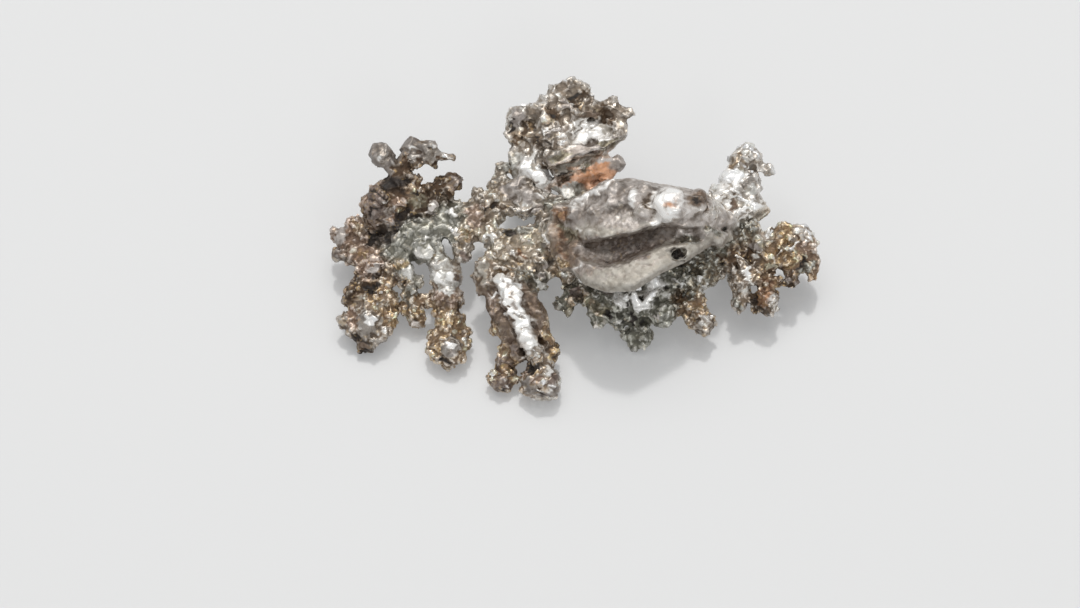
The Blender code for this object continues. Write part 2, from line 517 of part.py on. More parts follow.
# Each branch: its seed, its finish, the branches that it is cut back from, and its pits.
BRANCHES = {
    centre_trunk: (11, SILVER, (), ((-6.2, 7.0, 7.1, 0.55), (-3.0, 4.0, 6.6, 0.4))),
    left_trunk: (12, SILVER, (centre_trunk,), ((-14.0, 6.6, 6.4, 0.4),)),
    right_trunk: (13, TARNISHED, (centre_trunk,), ()),
    left_crest: (14, TARNISHED, (left_trunk, centre_trunk), ((-17.2, 12.2, 9.2, 0.6),)),
    left_tip: (15, COPPERY, (left_trunk, left_crest), ()),
    left_foot: (16, TARNISHED, (left_trunk, left_tip), ((-20.3, 1.0, 4.4, 0.5),)),
    small_finger: (17, COPPERY, (left_trunk, left_foot), ()),
    left_finger: (18, TARNISHED, (left_trunk, centre_trunk, small_finger), ((-13.1, -5.9, 1.8, 0.45),)),
    long_finger: (
        19, SILVER, (centre_trunk, left_finger), ((-4.2, -6.3, 3.5, 0.7), (-4.9, -6.3, 3.1, 0.5)),
    ),
    crown: (
        20, SILVER, (centre_trunk,),
        ((0.3, 20.4, 11.4, 0.75), (1.4, 17.0, 10.3, 1.4), (3.0, 17.4, 10.4, 1.2)),
    ),
    blade: (
        21, SILVER, (centre_trunk, right_trunk, crown), ((9.9, 9.9, 15.0, 0.6), (10.2, 5.0, 12.0, 0.7)),
    ),
    tongue: (22, COPPERY, (crown, centre_trunk, blade), ()),
    right_crest: (23, SILVER, (right_trunk, blade), ()),
    right_end: (24, TARNISHED, (right_trunk, right_crest), ()),
    right_claws: (25, TARNISHED, (right_trunk, right_end), ()),
    low_cluster: (26, SILVER, (centre_trunk, right_trunk, blade, long_finger), ()),
    right_finger: (27, TARNISHED, (right_trunk, low_cluster, blade), ()),
}


def metal(name, finish):
    """A metallic material."""
    colour, roughness = finish
    material = bpy.data.materials.new(name)
    material.use_nodes = True
    shader = material.node_tree.nodes["Principled BSDF"]
    shader.inputs["Base Color"].default_value = (*colour, 1)
    shader.inputs["Metallic"].default_value = 1.0
    shader.inputs["Roughness"].default_value = roughness
    return material


def baked(raw, name):
    """A new object from the evaluated mesh of raw, which it replaces."""
    seen = raw.evaluated_get(bpy.context.evaluated_depsgraph_get())
    mesh = in_fixed_order(biggest_part(bpy.data.meshes.new_from_object(seen)), name)
    made = bpy.data.objects.new(name, mesh)
    bpy.context.scene.collection.objects.link(made)
    bpy.data.objects.remove(raw)
    return made


def boolean(target, operation, other, fuse=False):
    """Adds a Boolean modifier. With fuse, it also joins the overlapping shells of the target."""
    modifier = target.modifiers.new(other.name, "BOOLEAN")
    modifier.operation = operation
    modifier.solver = "EXACT"
    modifier.use_self = fuse
    modifier.object = other


def fused(branch, table, grown=0.0):
    """A branch's shapes, fused into one solid and cut flat where they reach below the table."""
    growth = Growth(BRANCHES[branch][0], grown)
    branch(growth)
    raw = growth.finish(f"{branch.__name__}_raw")
    boolean(raw, "DIFFERENCE", table, fuse=True)
    return baked(raw, f"{branch.__name__}_fused")


def table_block():
    """A block whose top is the table."""
    growth = Growth(0)
    verts = bmesh.ops.create_cube(growth.bm, size=1)["verts"]
    scale = (TABLE_SIDE * MM, TABLE_SIDE * MM, TABLE_DEPTH * MM)
    growth.put(verts, Vector((0, 0, -TABLE_DEPTH / 2 * MM)), Matrix(), scale)
    return growth.finish("table")


def pits_of(branch):
    """The shapes of a branch's pits, or None."""
    pits = BRANCHES[branch][3]
    if not pits:
        return None
    holes = Growth(len(pits))
    for pit in pits:
        holes.lump(pit)
    return holes.finish(f"{branch.__name__}_pits")


def biggest_part(mesh):
    """Keeps only the largest of a mesh's separate parts, without any loose fins on it."""
    bm = bmesh.new()
    bm.from_mesh(mesh)
    while fins := [face for face in bm.faces if any(edge.is_boundary for edge in face.edges)]:
        bmesh.ops.delete(bm, geom=fins, context="FACES")
    left = set(bm.verts)
    parts = []
    while left:
        part = {left.pop()}
        edge = set(part)
        while edge:
            edge = {e.other_vert(vert) for vert in edge for e in vert.link_edges} - part
            part |= edge
        left -= part
        parts.append(part)
    parts.sort(key=len)
    for part in parts[:-1]:
        bmesh.ops.delete(bm, geom=list(part), context="VERTS")
    bm.to_mesh(mesh)
    bm.free()
    return mesh


def in_fixed_order(mesh, name):
    """The same mesh, with an order of corners and faces that depends only on where they lie."""
    places = np.array([vert.co for vert in mesh.vertices])
    order = np.lexsort(np.round(places, ORDER_DIGITS).T)
    rank = np.argsort(order).tolist()
    faces = []
    for face in mesh.polygons:
        corners = [rank[vert] for vert in face.vertices]
        first = corners.index(min(corners))
        faces.append(corners[first:] + corners[:first])
    made = bpy.data.meshes.new(name)
    made.from_pydata(places[order], [], sorted(faces))
    bpy.data.meshes.remove(mesh)
    return made


def grown_branch(branch, table, cutters):
    """A finished branch: fused, cut by its pits, and cut back from the branches it grows from."""
    _, finish, parents, _ = BRANCHES[branch]
    raw = fused(branch, table)
    pits = pits_of(branch)
    if pits:
        boolean(raw, "DIFFERENCE", pits, fuse=True)
    for parent in parents:
        boolean(raw, "DIFFERENCE", cutters[parent])
    cut = baked(raw, f"{branch.__name__}_cut")
    cut.modifiers.new("triangles", "TRIANGULATE")
    cut.modifiers.new("simpler", "DECIMATE").ratio = SIMPLIFIED
    node = baked(cut, branch.__name__)
    for vert in node.data.vertices:
        if vert.co.z < FOOT_PLAY * MM:
            vert.co.z = 0
    node.data.materials.append(metal(node.name, finish))
    return node


def main():
    for old in list(bpy.data.objects):
        bpy.data.objects.remove(old, do_unlink=True)
    table = table_block()
    parents = {parent for _, _, above, _ in BRANCHES.values() for parent in above}
    cutters = {branch: fused(branch, table, GROWN_BY) for branch in BRANCHES if branch in parents}
    nodes = [grown_branch(branch, table, cutters) for branch in BRANCHES]
    for helper in set(bpy.data.objects) - set(nodes):
        bpy.data.objects.remove(helper, do_unlink=True)
    corners = [vert.co for node in nodes for vert in node.data.vertices]
    base = bpy.data.objects.new("base", None)
    bpy.context.scene.collection.objects.link(base)
    for axis in (0, 1):
        lowest = min(corner[axis] for corner in corners)
        highest = max(corner[axis] for corner in corners)
        base.location[axis] = -(lowest + highest) / 2
    for node in nodes:
        node.parent = base


main()
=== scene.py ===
"""A native silver crystal: its branches dressed with lumps, plates, small crystals, tarnish and painted
light and shade.
"""

import math

import bmesh
import bpy
import numpy as np
from mathutils import Matrix, Vector, noise
from mathutils.bvhtree import BVHTree
from mathutils.kdtree import KDTree


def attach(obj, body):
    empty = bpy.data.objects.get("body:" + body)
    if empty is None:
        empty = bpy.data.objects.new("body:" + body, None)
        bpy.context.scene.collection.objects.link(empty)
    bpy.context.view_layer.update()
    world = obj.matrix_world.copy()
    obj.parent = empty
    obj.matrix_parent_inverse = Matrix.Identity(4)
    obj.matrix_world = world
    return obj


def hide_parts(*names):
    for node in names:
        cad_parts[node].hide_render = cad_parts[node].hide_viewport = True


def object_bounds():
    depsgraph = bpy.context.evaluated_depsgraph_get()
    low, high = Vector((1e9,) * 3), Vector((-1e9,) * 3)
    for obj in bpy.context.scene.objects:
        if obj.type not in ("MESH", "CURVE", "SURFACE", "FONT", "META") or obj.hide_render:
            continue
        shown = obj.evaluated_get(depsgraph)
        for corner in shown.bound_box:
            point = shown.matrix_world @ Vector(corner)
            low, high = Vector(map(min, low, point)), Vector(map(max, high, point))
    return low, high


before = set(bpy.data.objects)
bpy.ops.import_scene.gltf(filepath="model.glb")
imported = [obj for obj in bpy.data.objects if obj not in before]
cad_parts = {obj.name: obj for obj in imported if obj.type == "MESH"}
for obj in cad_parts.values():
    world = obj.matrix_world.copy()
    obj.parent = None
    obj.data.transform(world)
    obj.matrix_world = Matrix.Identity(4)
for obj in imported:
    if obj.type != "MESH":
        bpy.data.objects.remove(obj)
cad_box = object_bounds()

# Lengths are in millimetres and angles in degrees, unless a comment says otherwise. A name that ends
# in _RANGE holds the least and the most of an even random draw.

MM = 0.001  # metres

# The layout view: the branches seen from the front and above, as (across, up, height).
VIEW_TILT = math.radians(60)  # how steeply it looks down, in radians
LAYOUT_SHIFT = Vector((-0.02, -4.186, 0.0))  # from the layout's origin to the frame's
EYE = 600.0  # how far away its viewer is
EYE_ACROSS = -3.4  # where its viewer is along the layout
TOWARD_EYE = Vector((0, -math.cos(VIEW_TILT), math.sin(VIEW_TILT)))


def place(across, up, height):
    """A point of the layout view, in the frame's axes."""
    y = (up - height * math.cos(VIEW_TILT)) / math.sin(VIEW_TILT)
    return Vector((across, y, height)) + LAYOUT_SHIFT


# ---------------------------------------------------------------- finishes

# Each finish: its colour, its shine from 0, tarnished, to 1, polished, its grain from 0, smooth, to
# 1, covered with small crystals, how metallic it is, and how far it stands out of the skin.
FINISHES = {
    # white_silver_and_highlight: clean silver, and painted highlight: near white and little metallic, so
    # that it shows white whichever way it faces
    "white_silver_and_highlight": ((0.97, 0.95, 0.92), 1.0, 0.0, 0.3, 0.06),
    "silver": ((0.90, 0.85, 0.79), 0.8, 0.4, 0.85, 0.0),
    "smooth_silver": ((0.39, 0.35, 0.31), 0.5, 0.12, 0.95, 0.0),
    "pale_silver": ((0.72, 0.71, 0.67), 0.65, 0.1, 0.5, 0.0),
    "warm_grey": ((0.60, 0.54, 0.475), 0.5, 0.5, 0.85, 0.0),
    "smooth_grey": ((0.40, 0.355, 0.325), 0.35, 0.05, 0.65, 0.0),
    # dull_grey_and_rim_shade: dull grey tone, and painted shade round the rims and feet of knobs
    "dull_grey_and_rim_shade": ((0.29, 0.255, 0.23), 0.2, 0.1, 0.5, 0.0),
    "lilac_grey": ((0.52, 0.47, 0.435), 0.4, 0.1, 0.45, 0.0),
    "lilac_light": ((0.70, 0.645, 0.605), 0.7, 0.05, 0.4, 0.0),
    "lilac_brown": ((0.25, 0.19, 0.16), 0.25, 0.2, 0.65, 0.0),
    "green_grey": ((0.42, 0.415, 0.36), 0.45, 0.5, 0.8, 0.0),
    # pale_green_and_floor_reflection: pale green-grey, partly a painted reflection of the pale floor
    "pale_green_and_floor_reflection": ((0.39, 0.385, 0.34), 0.5, 0.4, 0.5, 0.0),
    "olive": ((0.33, 0.295, 0.21), 0.3, 0.3, 0.5, -0.04),
    "beige": ((0.475, 0.44, 0.38), 0.4, 0.06, 0.15, 0.0),
    "groove_dark": ((0.32, 0.27, 0.245), 0.05, 0.25, 0.3, 0.0),
    "groove_light": ((0.45, 0.39, 0.35), 0.2, 0.2, 0.3, 0.0),
    "gold_brown": ((0.84, 0.68, 0.51), 0.45, 1.0, 0.85, 0.0),
    "pale_gold": ((0.90, 0.80, 0.66), 0.65, 0.8, 0.7, 0.0),
    "gold": ((0.85, 0.645, 0.40), 0.5, 0.8, 0.8, 0.0),
    "brown": ((0.25, 0.18, 0.12), 0.2, 0.6, 0.7, -0.05),
    "smooth_brown": ((0.235, 0.17, 0.125), 0.2, 0.08, 0.5, 0.0),
    # dark_shade_and_tarnish: black tarnish, and painted shade in crevices, holes and under knobs
    "dark_shade_and_tarnish": ((0.05, 0.036, 0.028), 0.05, 0.4, 0.3, -0.15),
    "pinkish": ((0.62, 0.49, 0.41), 0.45, 0.5, 0.7, 0.0),
    "rust": ((0.31, 0.17, 0.09), 0.3, 0.3, 0.5, 0.0),
    "copper": ((0.75, 0.37, 0.19), 0.8, 0.12, 0.05, 0.0),
}

# Where each finish shows: (across, up, height, reach), in the layout view.
TINTS = {
    # Near-white silver with painted highlight, on plates, strips, ridges and the tops of knobs
    "white_silver_and_highlight": (
        (-7.2, 2.3, 7.0, 0.9), (-6.6, 1.0, 6.7, 1.0), (-6.0, -0.3, 6.3, 1.0), (-5.4, -1.6, 5.9, 1.0),
        (-4.9, -2.7, 5.4, 0.9), (-4.4, -3.8, 5.0, 0.8), (1.2, 16.9, 9.6, 1.3), (3.0, 17.6, 9.6, 1.1),
        (-4.2, 13.5, 8.9, 1.2), (-3.4, 12.6, 8.4, 0.8), (-2.9, 6.3, 7.2, 0.7), (9.2, 9.3, 14.9, 1.2),
        (7.9, 10.9, 13.6, 0.8), (15.6, 12.4, 9.4, 1.1), (15.4, 10.6, 9.2, 1.1), (16.8, 10.4, 8.8, 0.8),
        (15.8, 9.4, 8.2, 0.9), (4.6, 0.4, 5.4, 0.8), (6.6, 0.4, 5.3, 0.9), (8.0, 1.9, 5.7, 0.8),
        (10.4, 2.2, 5.6, 0.5), (-20.5, -1.6, 3.7, 0.8), (-12.5, -4.5, 3.2, 0.8), (-13.2, 2.4, 5.6, 0.8),
        (-14.4, 14.9, 10.2, 0.5),
    ),
    "silver": (
        (17.2, 14.6, 9.8, 1.2), (19.2, 13.4, 9.0, 0.9), (14.0, 10.8, 8.6, 1.0), (-5.4, 18.3, 10.4, 1.2),
        (-0.6, 21.5, 11.0, 1.2), (-3.4, 19.0, 10.6, 1.2), (-3.3, -7.6, 3.4, 1.3), (13.4, 9.0, 11.0, 1.0),
        (11.2, 9.6, 13.2, 1.0), (-13.2, 4.0, 6.0, 1.2), (16.8, 2.0, 5.2, 0.7), (22.8, 6.8, 6.2, 1.0),
        (-5.0, 9.7, 7.4, 1.0), (18.8, 7.4, 6.4, 0.7),
    ),
    # The crest's knobs: painted shade over each whole knob, whose middle is covered by a lighter mark
    "dull_grey_and_rim_shade": ((-19.3, 14.9, 9.2, 1.2), (-16.5, 15.4, 9.4, 1.1), (-14.4, 15.2, 9.6, 0.7)),
    "warm_grey": (
        (-4.6, 11.2, 7.8, 1.3), (-7.0, 11.0, 7.4, 1.2), (-9.4, 9.8, 6.9, 1.2), (-10.6, 6.0, 5.8, 1.2),
        (-2.7, 17.4, 10.6, 1.2), (-1.2, 19.4, 11.0, 1.2), (0.2, 19.2, 11.0, 1.1), (3.8, 19.7, 11.2, 1.2),
        (5.0, 17.3, 10.2, 1.0), (2.0, 16.0, 10.4, 1.0), (-5.8, 15.6, 8.6, 1.2), (-3.4, -5.8, 3.6, 1.0),
        (-19.4, -3.0, 2.2, 1.0), (-21.8, -1.8, 2.4, 1.0), (16.2, 3.6, 5.8, 1.1), (16.4, 1.0, 4.4, 1.0),
        (-4.2, 4.0, 6.0, 1.2), (-3.0, 8.6, 7.0, 1.2), (-8.8, 3.4, 6.0, 1.2), (-23.8, 5.0, 3.9, 0.9),
        (12.8, -2.2, 3.4, 1.0), (19.8, -0.6, 3.9, 1.0), (-15.8, -1.9, 2.2, 0.6), (-0.4, 3.6, 6.2, 1.0),
    ),
    "lilac_grey": (
        (1.0, 9.6, 11.2, 1.5), (3.0, 10.4, 12.2, 1.6), (5.2, 10.8, 12.9, 1.6), (7.2, 9.8, 13.2, 1.2),
        (3.2, 8.9, 12.2, 1.2), (11.6, 10.4, 12.6, 1.2), (12.6, 8.0, 10.8, 1.2), (14.6, 7.2, 8.8, 1.2),
        (4.6, 13.9, 8.4, 0.8), (-18.2, 8.6, 7.4, 1.0), (3.0, 12.2, 12.0, 1.0),
    ),
    "green_grey": (
        (6.4, -2.4, 3.2, 1.6), (8.6, -0.9, 4.6, 1.4), (2.0, -0.4, 4.2, 1.3), (3.9, -1.0, 4.2, 1.2),
        (9.6, 2.9, 5.6, 1.3), (12.4, 2.8, 5.2, 1.3), (-3.7, 2.4, 5.6, 1.3), (-4.2, 3.4, 5.9, 1.0),
        (14.6, 5.2, 5.6, 1.4), (13.0, 4.8, 5.8, 1.2), (5.2, 2.0, 5.2, 1.2), (-4.6, 10.2, 3.4, 1.5),
        (14.4, 5.4, 2.6, 1.5), (-0.4, 0.6, 4.2, 1.0), (17.6, 7.2, 6.4, 1.0), (7.4, 5.4, 6.2, 1.6),
        (2.6, 5.9, 6.4, 1.4), (1.6, 13.8, 9.0, 0.8), (-0.6, 13.2, 8.8, 0.8), (3.2, 14.9, 10.0, 0.8),
    ),
    # Pale green-grey, partly a painted reflection of the pale floor
    "pale_green_and_floor_reflection": (
        (-12.2, 8.2, 6.2, 1.3), (-13.6, 7.6, 6.3, 1.5), (-15.4, 7.0, 6.3, 1.5), (-15.2, 5.6, 6.0, 1.4),
        (-17.2, 5.4, 6.2, 1.3), (-13.6, 5.6, 6.0, 1.2), (-16.8, 3.6, 5.4, 1.0), (-16.3, 1.6, 4.4, 0.9),
        (-2.4, 9.8, 7.4, 1.0), (-1.4, 8.8, 7.4, 1.0), (-5.8, 14.2, 8.0, 0.9), (0.2, 10.9, 7.2, 1.1),
        (-6.4, 7.6, 6.6, 0.8), (-2.2, 7.6, 7.2, 0.8), (-12.6, 6.2, 6.0, 0.9), (18.9, 6.4, 6.2, 0.7),
    ),
    "beige": (
        (1.2, 6.9, 10.7, 0.9), (3.1, 7.3, 11.7, 1.0), (5.8, 7.9, 12.5, 1.1), (7.9, 8.4, 12.9, 1.0),
        (0.6, 3.6, 9.8, 0.9), (2.0, 2.7, 10.4, 1.1), (3.8, 2.5, 11.0, 1.2), (5.8, 2.9, 11.4, 1.2),
        (7.8, 4.3, 11.7, 1.2), (9.6, 5.0, 11.6, 1.1), (11.4, 5.4, 11.2, 1.0), (12.4, 6.3, 10.4, 0.8),
        (1.4, 11.4, 11.0, 0.7), (14.8, 6.4, 8.2, 0.9),
    ),
    "groove_dark": (
        (1.4, 5.2, 9.0, 0.9), (3.1, 5.1, 9.4, 1.1), (4.6, 5.5, 9.6, 1.2), (6.2, 5.9, 9.9, 1.3),
        (8.0, 6.6, 10.2, 1.2), (9.8, 7.0, 10.4, 1.0), (10.2, 5.0, 11.4, 0.55), (7.4, 10.2, 13.2, 0.5),
        (12.9, 10.1, 12.4, 0.7), (5.4, 7.0, 10.6, 0.8),
    ),
    "gold_brown": (
        (-12.6, -2.4, 3.8, 1.2), (-13.6, -4.6, 2.6, 0.9), (-11.2, -4.2, 2.8, 0.9), (-15.9, 0.0, 3.4, 1.2),
        (-15.2, -0.9, 2.2, 1.0), (-19.4, 1.2, 4.8, 1.1), (-18.4, -0.6, 3.2, 1.1), (-7.1, -7.0, 2.4, 1.3),
        (-6.9, -5.6, 2.8, 1.0), (-8.0, -3.0, 4.0, 1.0), (20.8, 6.4, 6.2, 1.3), (21.6, 4.9, 5.6, 1.2),
        (19.6, 5.0, 5.4, 1.0), (12.0, -0.4, 4.2, 1.1), (-10.9, 6.4, 5.8, 0.8), (-0.2, 20.6, 11.0, 0.7),
        (-5.4, 16.8, 9.4, 0.8), (17.0, 14.0, 9.2, 0.6), (-15.6, 11.6, 8.0, 0.9), (-1.6, 5.2, 6.8, 0.9),
        (19.0, 1.8, 4.8, 0.9), (-2.0, -2.6, 4.0, 0.8), (-17.6, 4.2, 5.6, 0.7), (-20.0, 4.6, 4.8, 0.8),
        (-1.5, 3.2, 6.0, 0.8), (17.6, 6.6, 5.8, 0.5),
    ),
    "pale_gold": (
        (-9.8, 7.4, 6.6, 1.3), (-8.4, 6.6, 6.6, 1.3), (-6.4, 5.4, 6.4, 1.3), (-5.0, 6.4, 6.6, 1.2),
        (-3.2, 6.0, 6.8, 1.0), (-4.4, 4.4, 6.2, 1.0), (-7.4, 4.6, 6.0, 1.2), (-9.6, 9.6, 6.8, 1.0),
        (-8.0, 10.8, 7.2, 1.0),
    ),
    "brown": (
        (-19.6, 9.6, 7.4, 1.3), (-17.4, 10.6, 7.6, 1.3), (-15.4, 10.4, 7.4, 1.2), (-13.0, 11.6, 7.8, 1.2),
        (-20.6, 8.4, 6.6, 1.2), (-12.3, 12.2, 8.2, 1.1), (-16.2, 13.6, 8.8, 0.9), (-15.0, 15.2, 9.4, 0.7),
        (19.2, 0.8, 4.2, 1.2), (16.8, 4.6, 5.6, 1.0), (-17.2, 2.6, 4.6, 0.9), (-21.2, 1.6, 4.2, 1.1),
        (-2.6, -4.0, 3.4, 1.0), (12.4, -1.2, 4.0, 0.8), (-2.7, 19.0, 10.6, 0.7), (-2.4, 14.2, 9.0, 0.9),
        (21.6, 3.2, 4.8, 1.1), (10.6, 0.4, 4.4, 0.7), (0.8, 0.6, 4.8, 0.7), (2.2, 19.2, 10.8, 0.8),
        (-3.4, 16.4, 10.0, 0.7), (-9.0, 8.6, 6.6, 0.6), (-6.0, 4.4, 6.0, 0.7), (3.2, 18.9, 10.4, 0.7),
    ),
    "smooth_brown": (
        (-8.2, 0.8, 5.2, 1.1), (-7.4, -1.2, 4.6, 1.1), (-6.6, -3.2, 4.1, 1.1), (-5.6, -4.9, 3.4, 0.9),
        (-4.9, 1.2, 5.4, 1.0), (-4.0, -0.6, 4.8, 1.1), (-3.2, -2.6, 4.3, 1.0), (-0.6, 5.6, 9.2, 0.8),
        (-1.2, 8.2, 9.2, 0.9), (-1.2, 6.4, 8.8, 1.1), (-0.6, 4.6, 9.0, 0.9),
    ),
    # Painted shade in crevices, holes and under knobs, with black tarnish
    "dark_shade_and_tarnish": (
        (-18.4, 12.0, 8.2, 0.9), (-17.0, 11.9, 8.0, 0.8), (-17.6, 7.9, 6.4, 0.8), (-19.2, 6.6, 5.4, 0.9),
        (-16.2, 8.9, 6.6, 0.7), (-4.0, -6.2, 3.4, 0.6), (-6.4, 7.3, 6.9, 0.45), (-3.0, 4.0, 6.4, 0.45),
        (-20.0, 2.9, 4.2, 0.8), (-13.1, -5.9, 2.4, 0.6), (0.3, 20.3, 10.8, 0.5), (-1.6, 14.0, 8.0, 0.6),
        (-21.3, -4.2, 1.2, 0.8), (15.2, 5.6, 5.6, 0.6), (18.4, 5.2, 5.2, 0.6), (4.9, -1.2, 3.4, 0.6),
        (-3.8, 11.7, 7.6, 0.5), (18.4, 0.4, 3.8, 0.6), (7.8, 0.9, 4.6, 0.45), (-18.9, 10.6, 8.4, 0.4),
    ),
    "pinkish": (
        (-21.0, 5.4, 4.8, 1.2), (-22.4, 6.4, 4.4, 1.2), (-21.4, 7.9, 4.8, 1.0), (-20.4, 3.6, 4.4, 1.0),
        (-23.4, 7.0, 4.2, 0.9), (-20.2, 10.9, 8.4, 1.0), (-19.7, 8.8, 7.6, 0.9), (-13.0, 1.0, 5.0, 1.0),
        (-1.6, 12.0, 8.0, 0.6), (22.8, 5.4, 5.6, 0.9), (-2.2, 5.6, 7.0, 0.6), (-4.9, -6.8, 3.0, 0.8),
    ),
    "copper": (
        (-0.2, 12.6, 8.4, 0.9), (0.8, 12.6, 8.5, 0.9), (1.8, 13.2, 8.7, 0.9), (3.0, 13.6, 9.0, 0.9),
        (9.9, 9.9, 14.4, 0.35), (2.4, 12.4, 8.0, 0.8),
    ),
}

COLOUR = slice(0, 3)  # the columns of a row of tint values
SHINE, GRAIN, METAL, RISE = 3, 4, 5, 6

# Ragged borders: how far a point is moved by each set of waves, and how many radians a millimetre
# they turn. Each set is laid on twice, the second time finer and out of step with the first.
WAVES = ((0.20, 1.9), (0.11, 4.7), (0.06, 10.3))
WAVE_GAIN = 0.37
WAVE_SLANT = 0.7
WAVE_STEP = 2.1
TINT_BLUR = 0.12  # the square of how far out, in reaches, a tint's nearness halves


def values_of(finish):
    """A finish as one row: red, green, blue, shine, grain, metal and rise."""
    colour, *others = FINISHES[finish]
    return (*colour, *others)


def tint_table():
    """The tints' places, reaches and values, as arrays."""
    spots = [spot for each in TINTS.values() for spot in each]
    where = np.array([place(*spot[:3]) for spot in spots], np.float32)
    reach = np.array([spot[3] for spot in spots], np.float32)
    values = np.array([values_of(name) for name, spots in TINTS.items() for _ in spots], np.float32)
    return where, reach, values


def wavy(points):
    """The points moved a little, so that what is laid on them gets ragged borders."""
    moved = points.astype(np.float32)
    for reach, waves in WAVES:
        for turn in range(2):
            phase = points[:, [1, 2, 0]] * waves * (1 + WAVE_GAIN * turn)
            phase = phase + points[:, [2, 0, 1]] * waves * WAVE_SLANT
            moved = moved + reach * np.sin(phase + turn * WAVE_STEP + waves)
    return moved


def tinted(points):
    """Each point's row of values, blended from the tints near it."""
    where, reach, values = TINT_TABLE
    points = wavy(points)
    away = (points ** 2).sum(1)[:, None] + (where ** 2).sum(1)[None] - 2 * points @ where.T
    nearness = 1 / (TINT_BLUR + np.maximum(away, 0) / reach ** 2)
    weight = nearness * nearness * np.sqrt(nearness)
    return weight @ values / weight.sum(1, keepdims=True)


TINT_TABLE = tint_table()
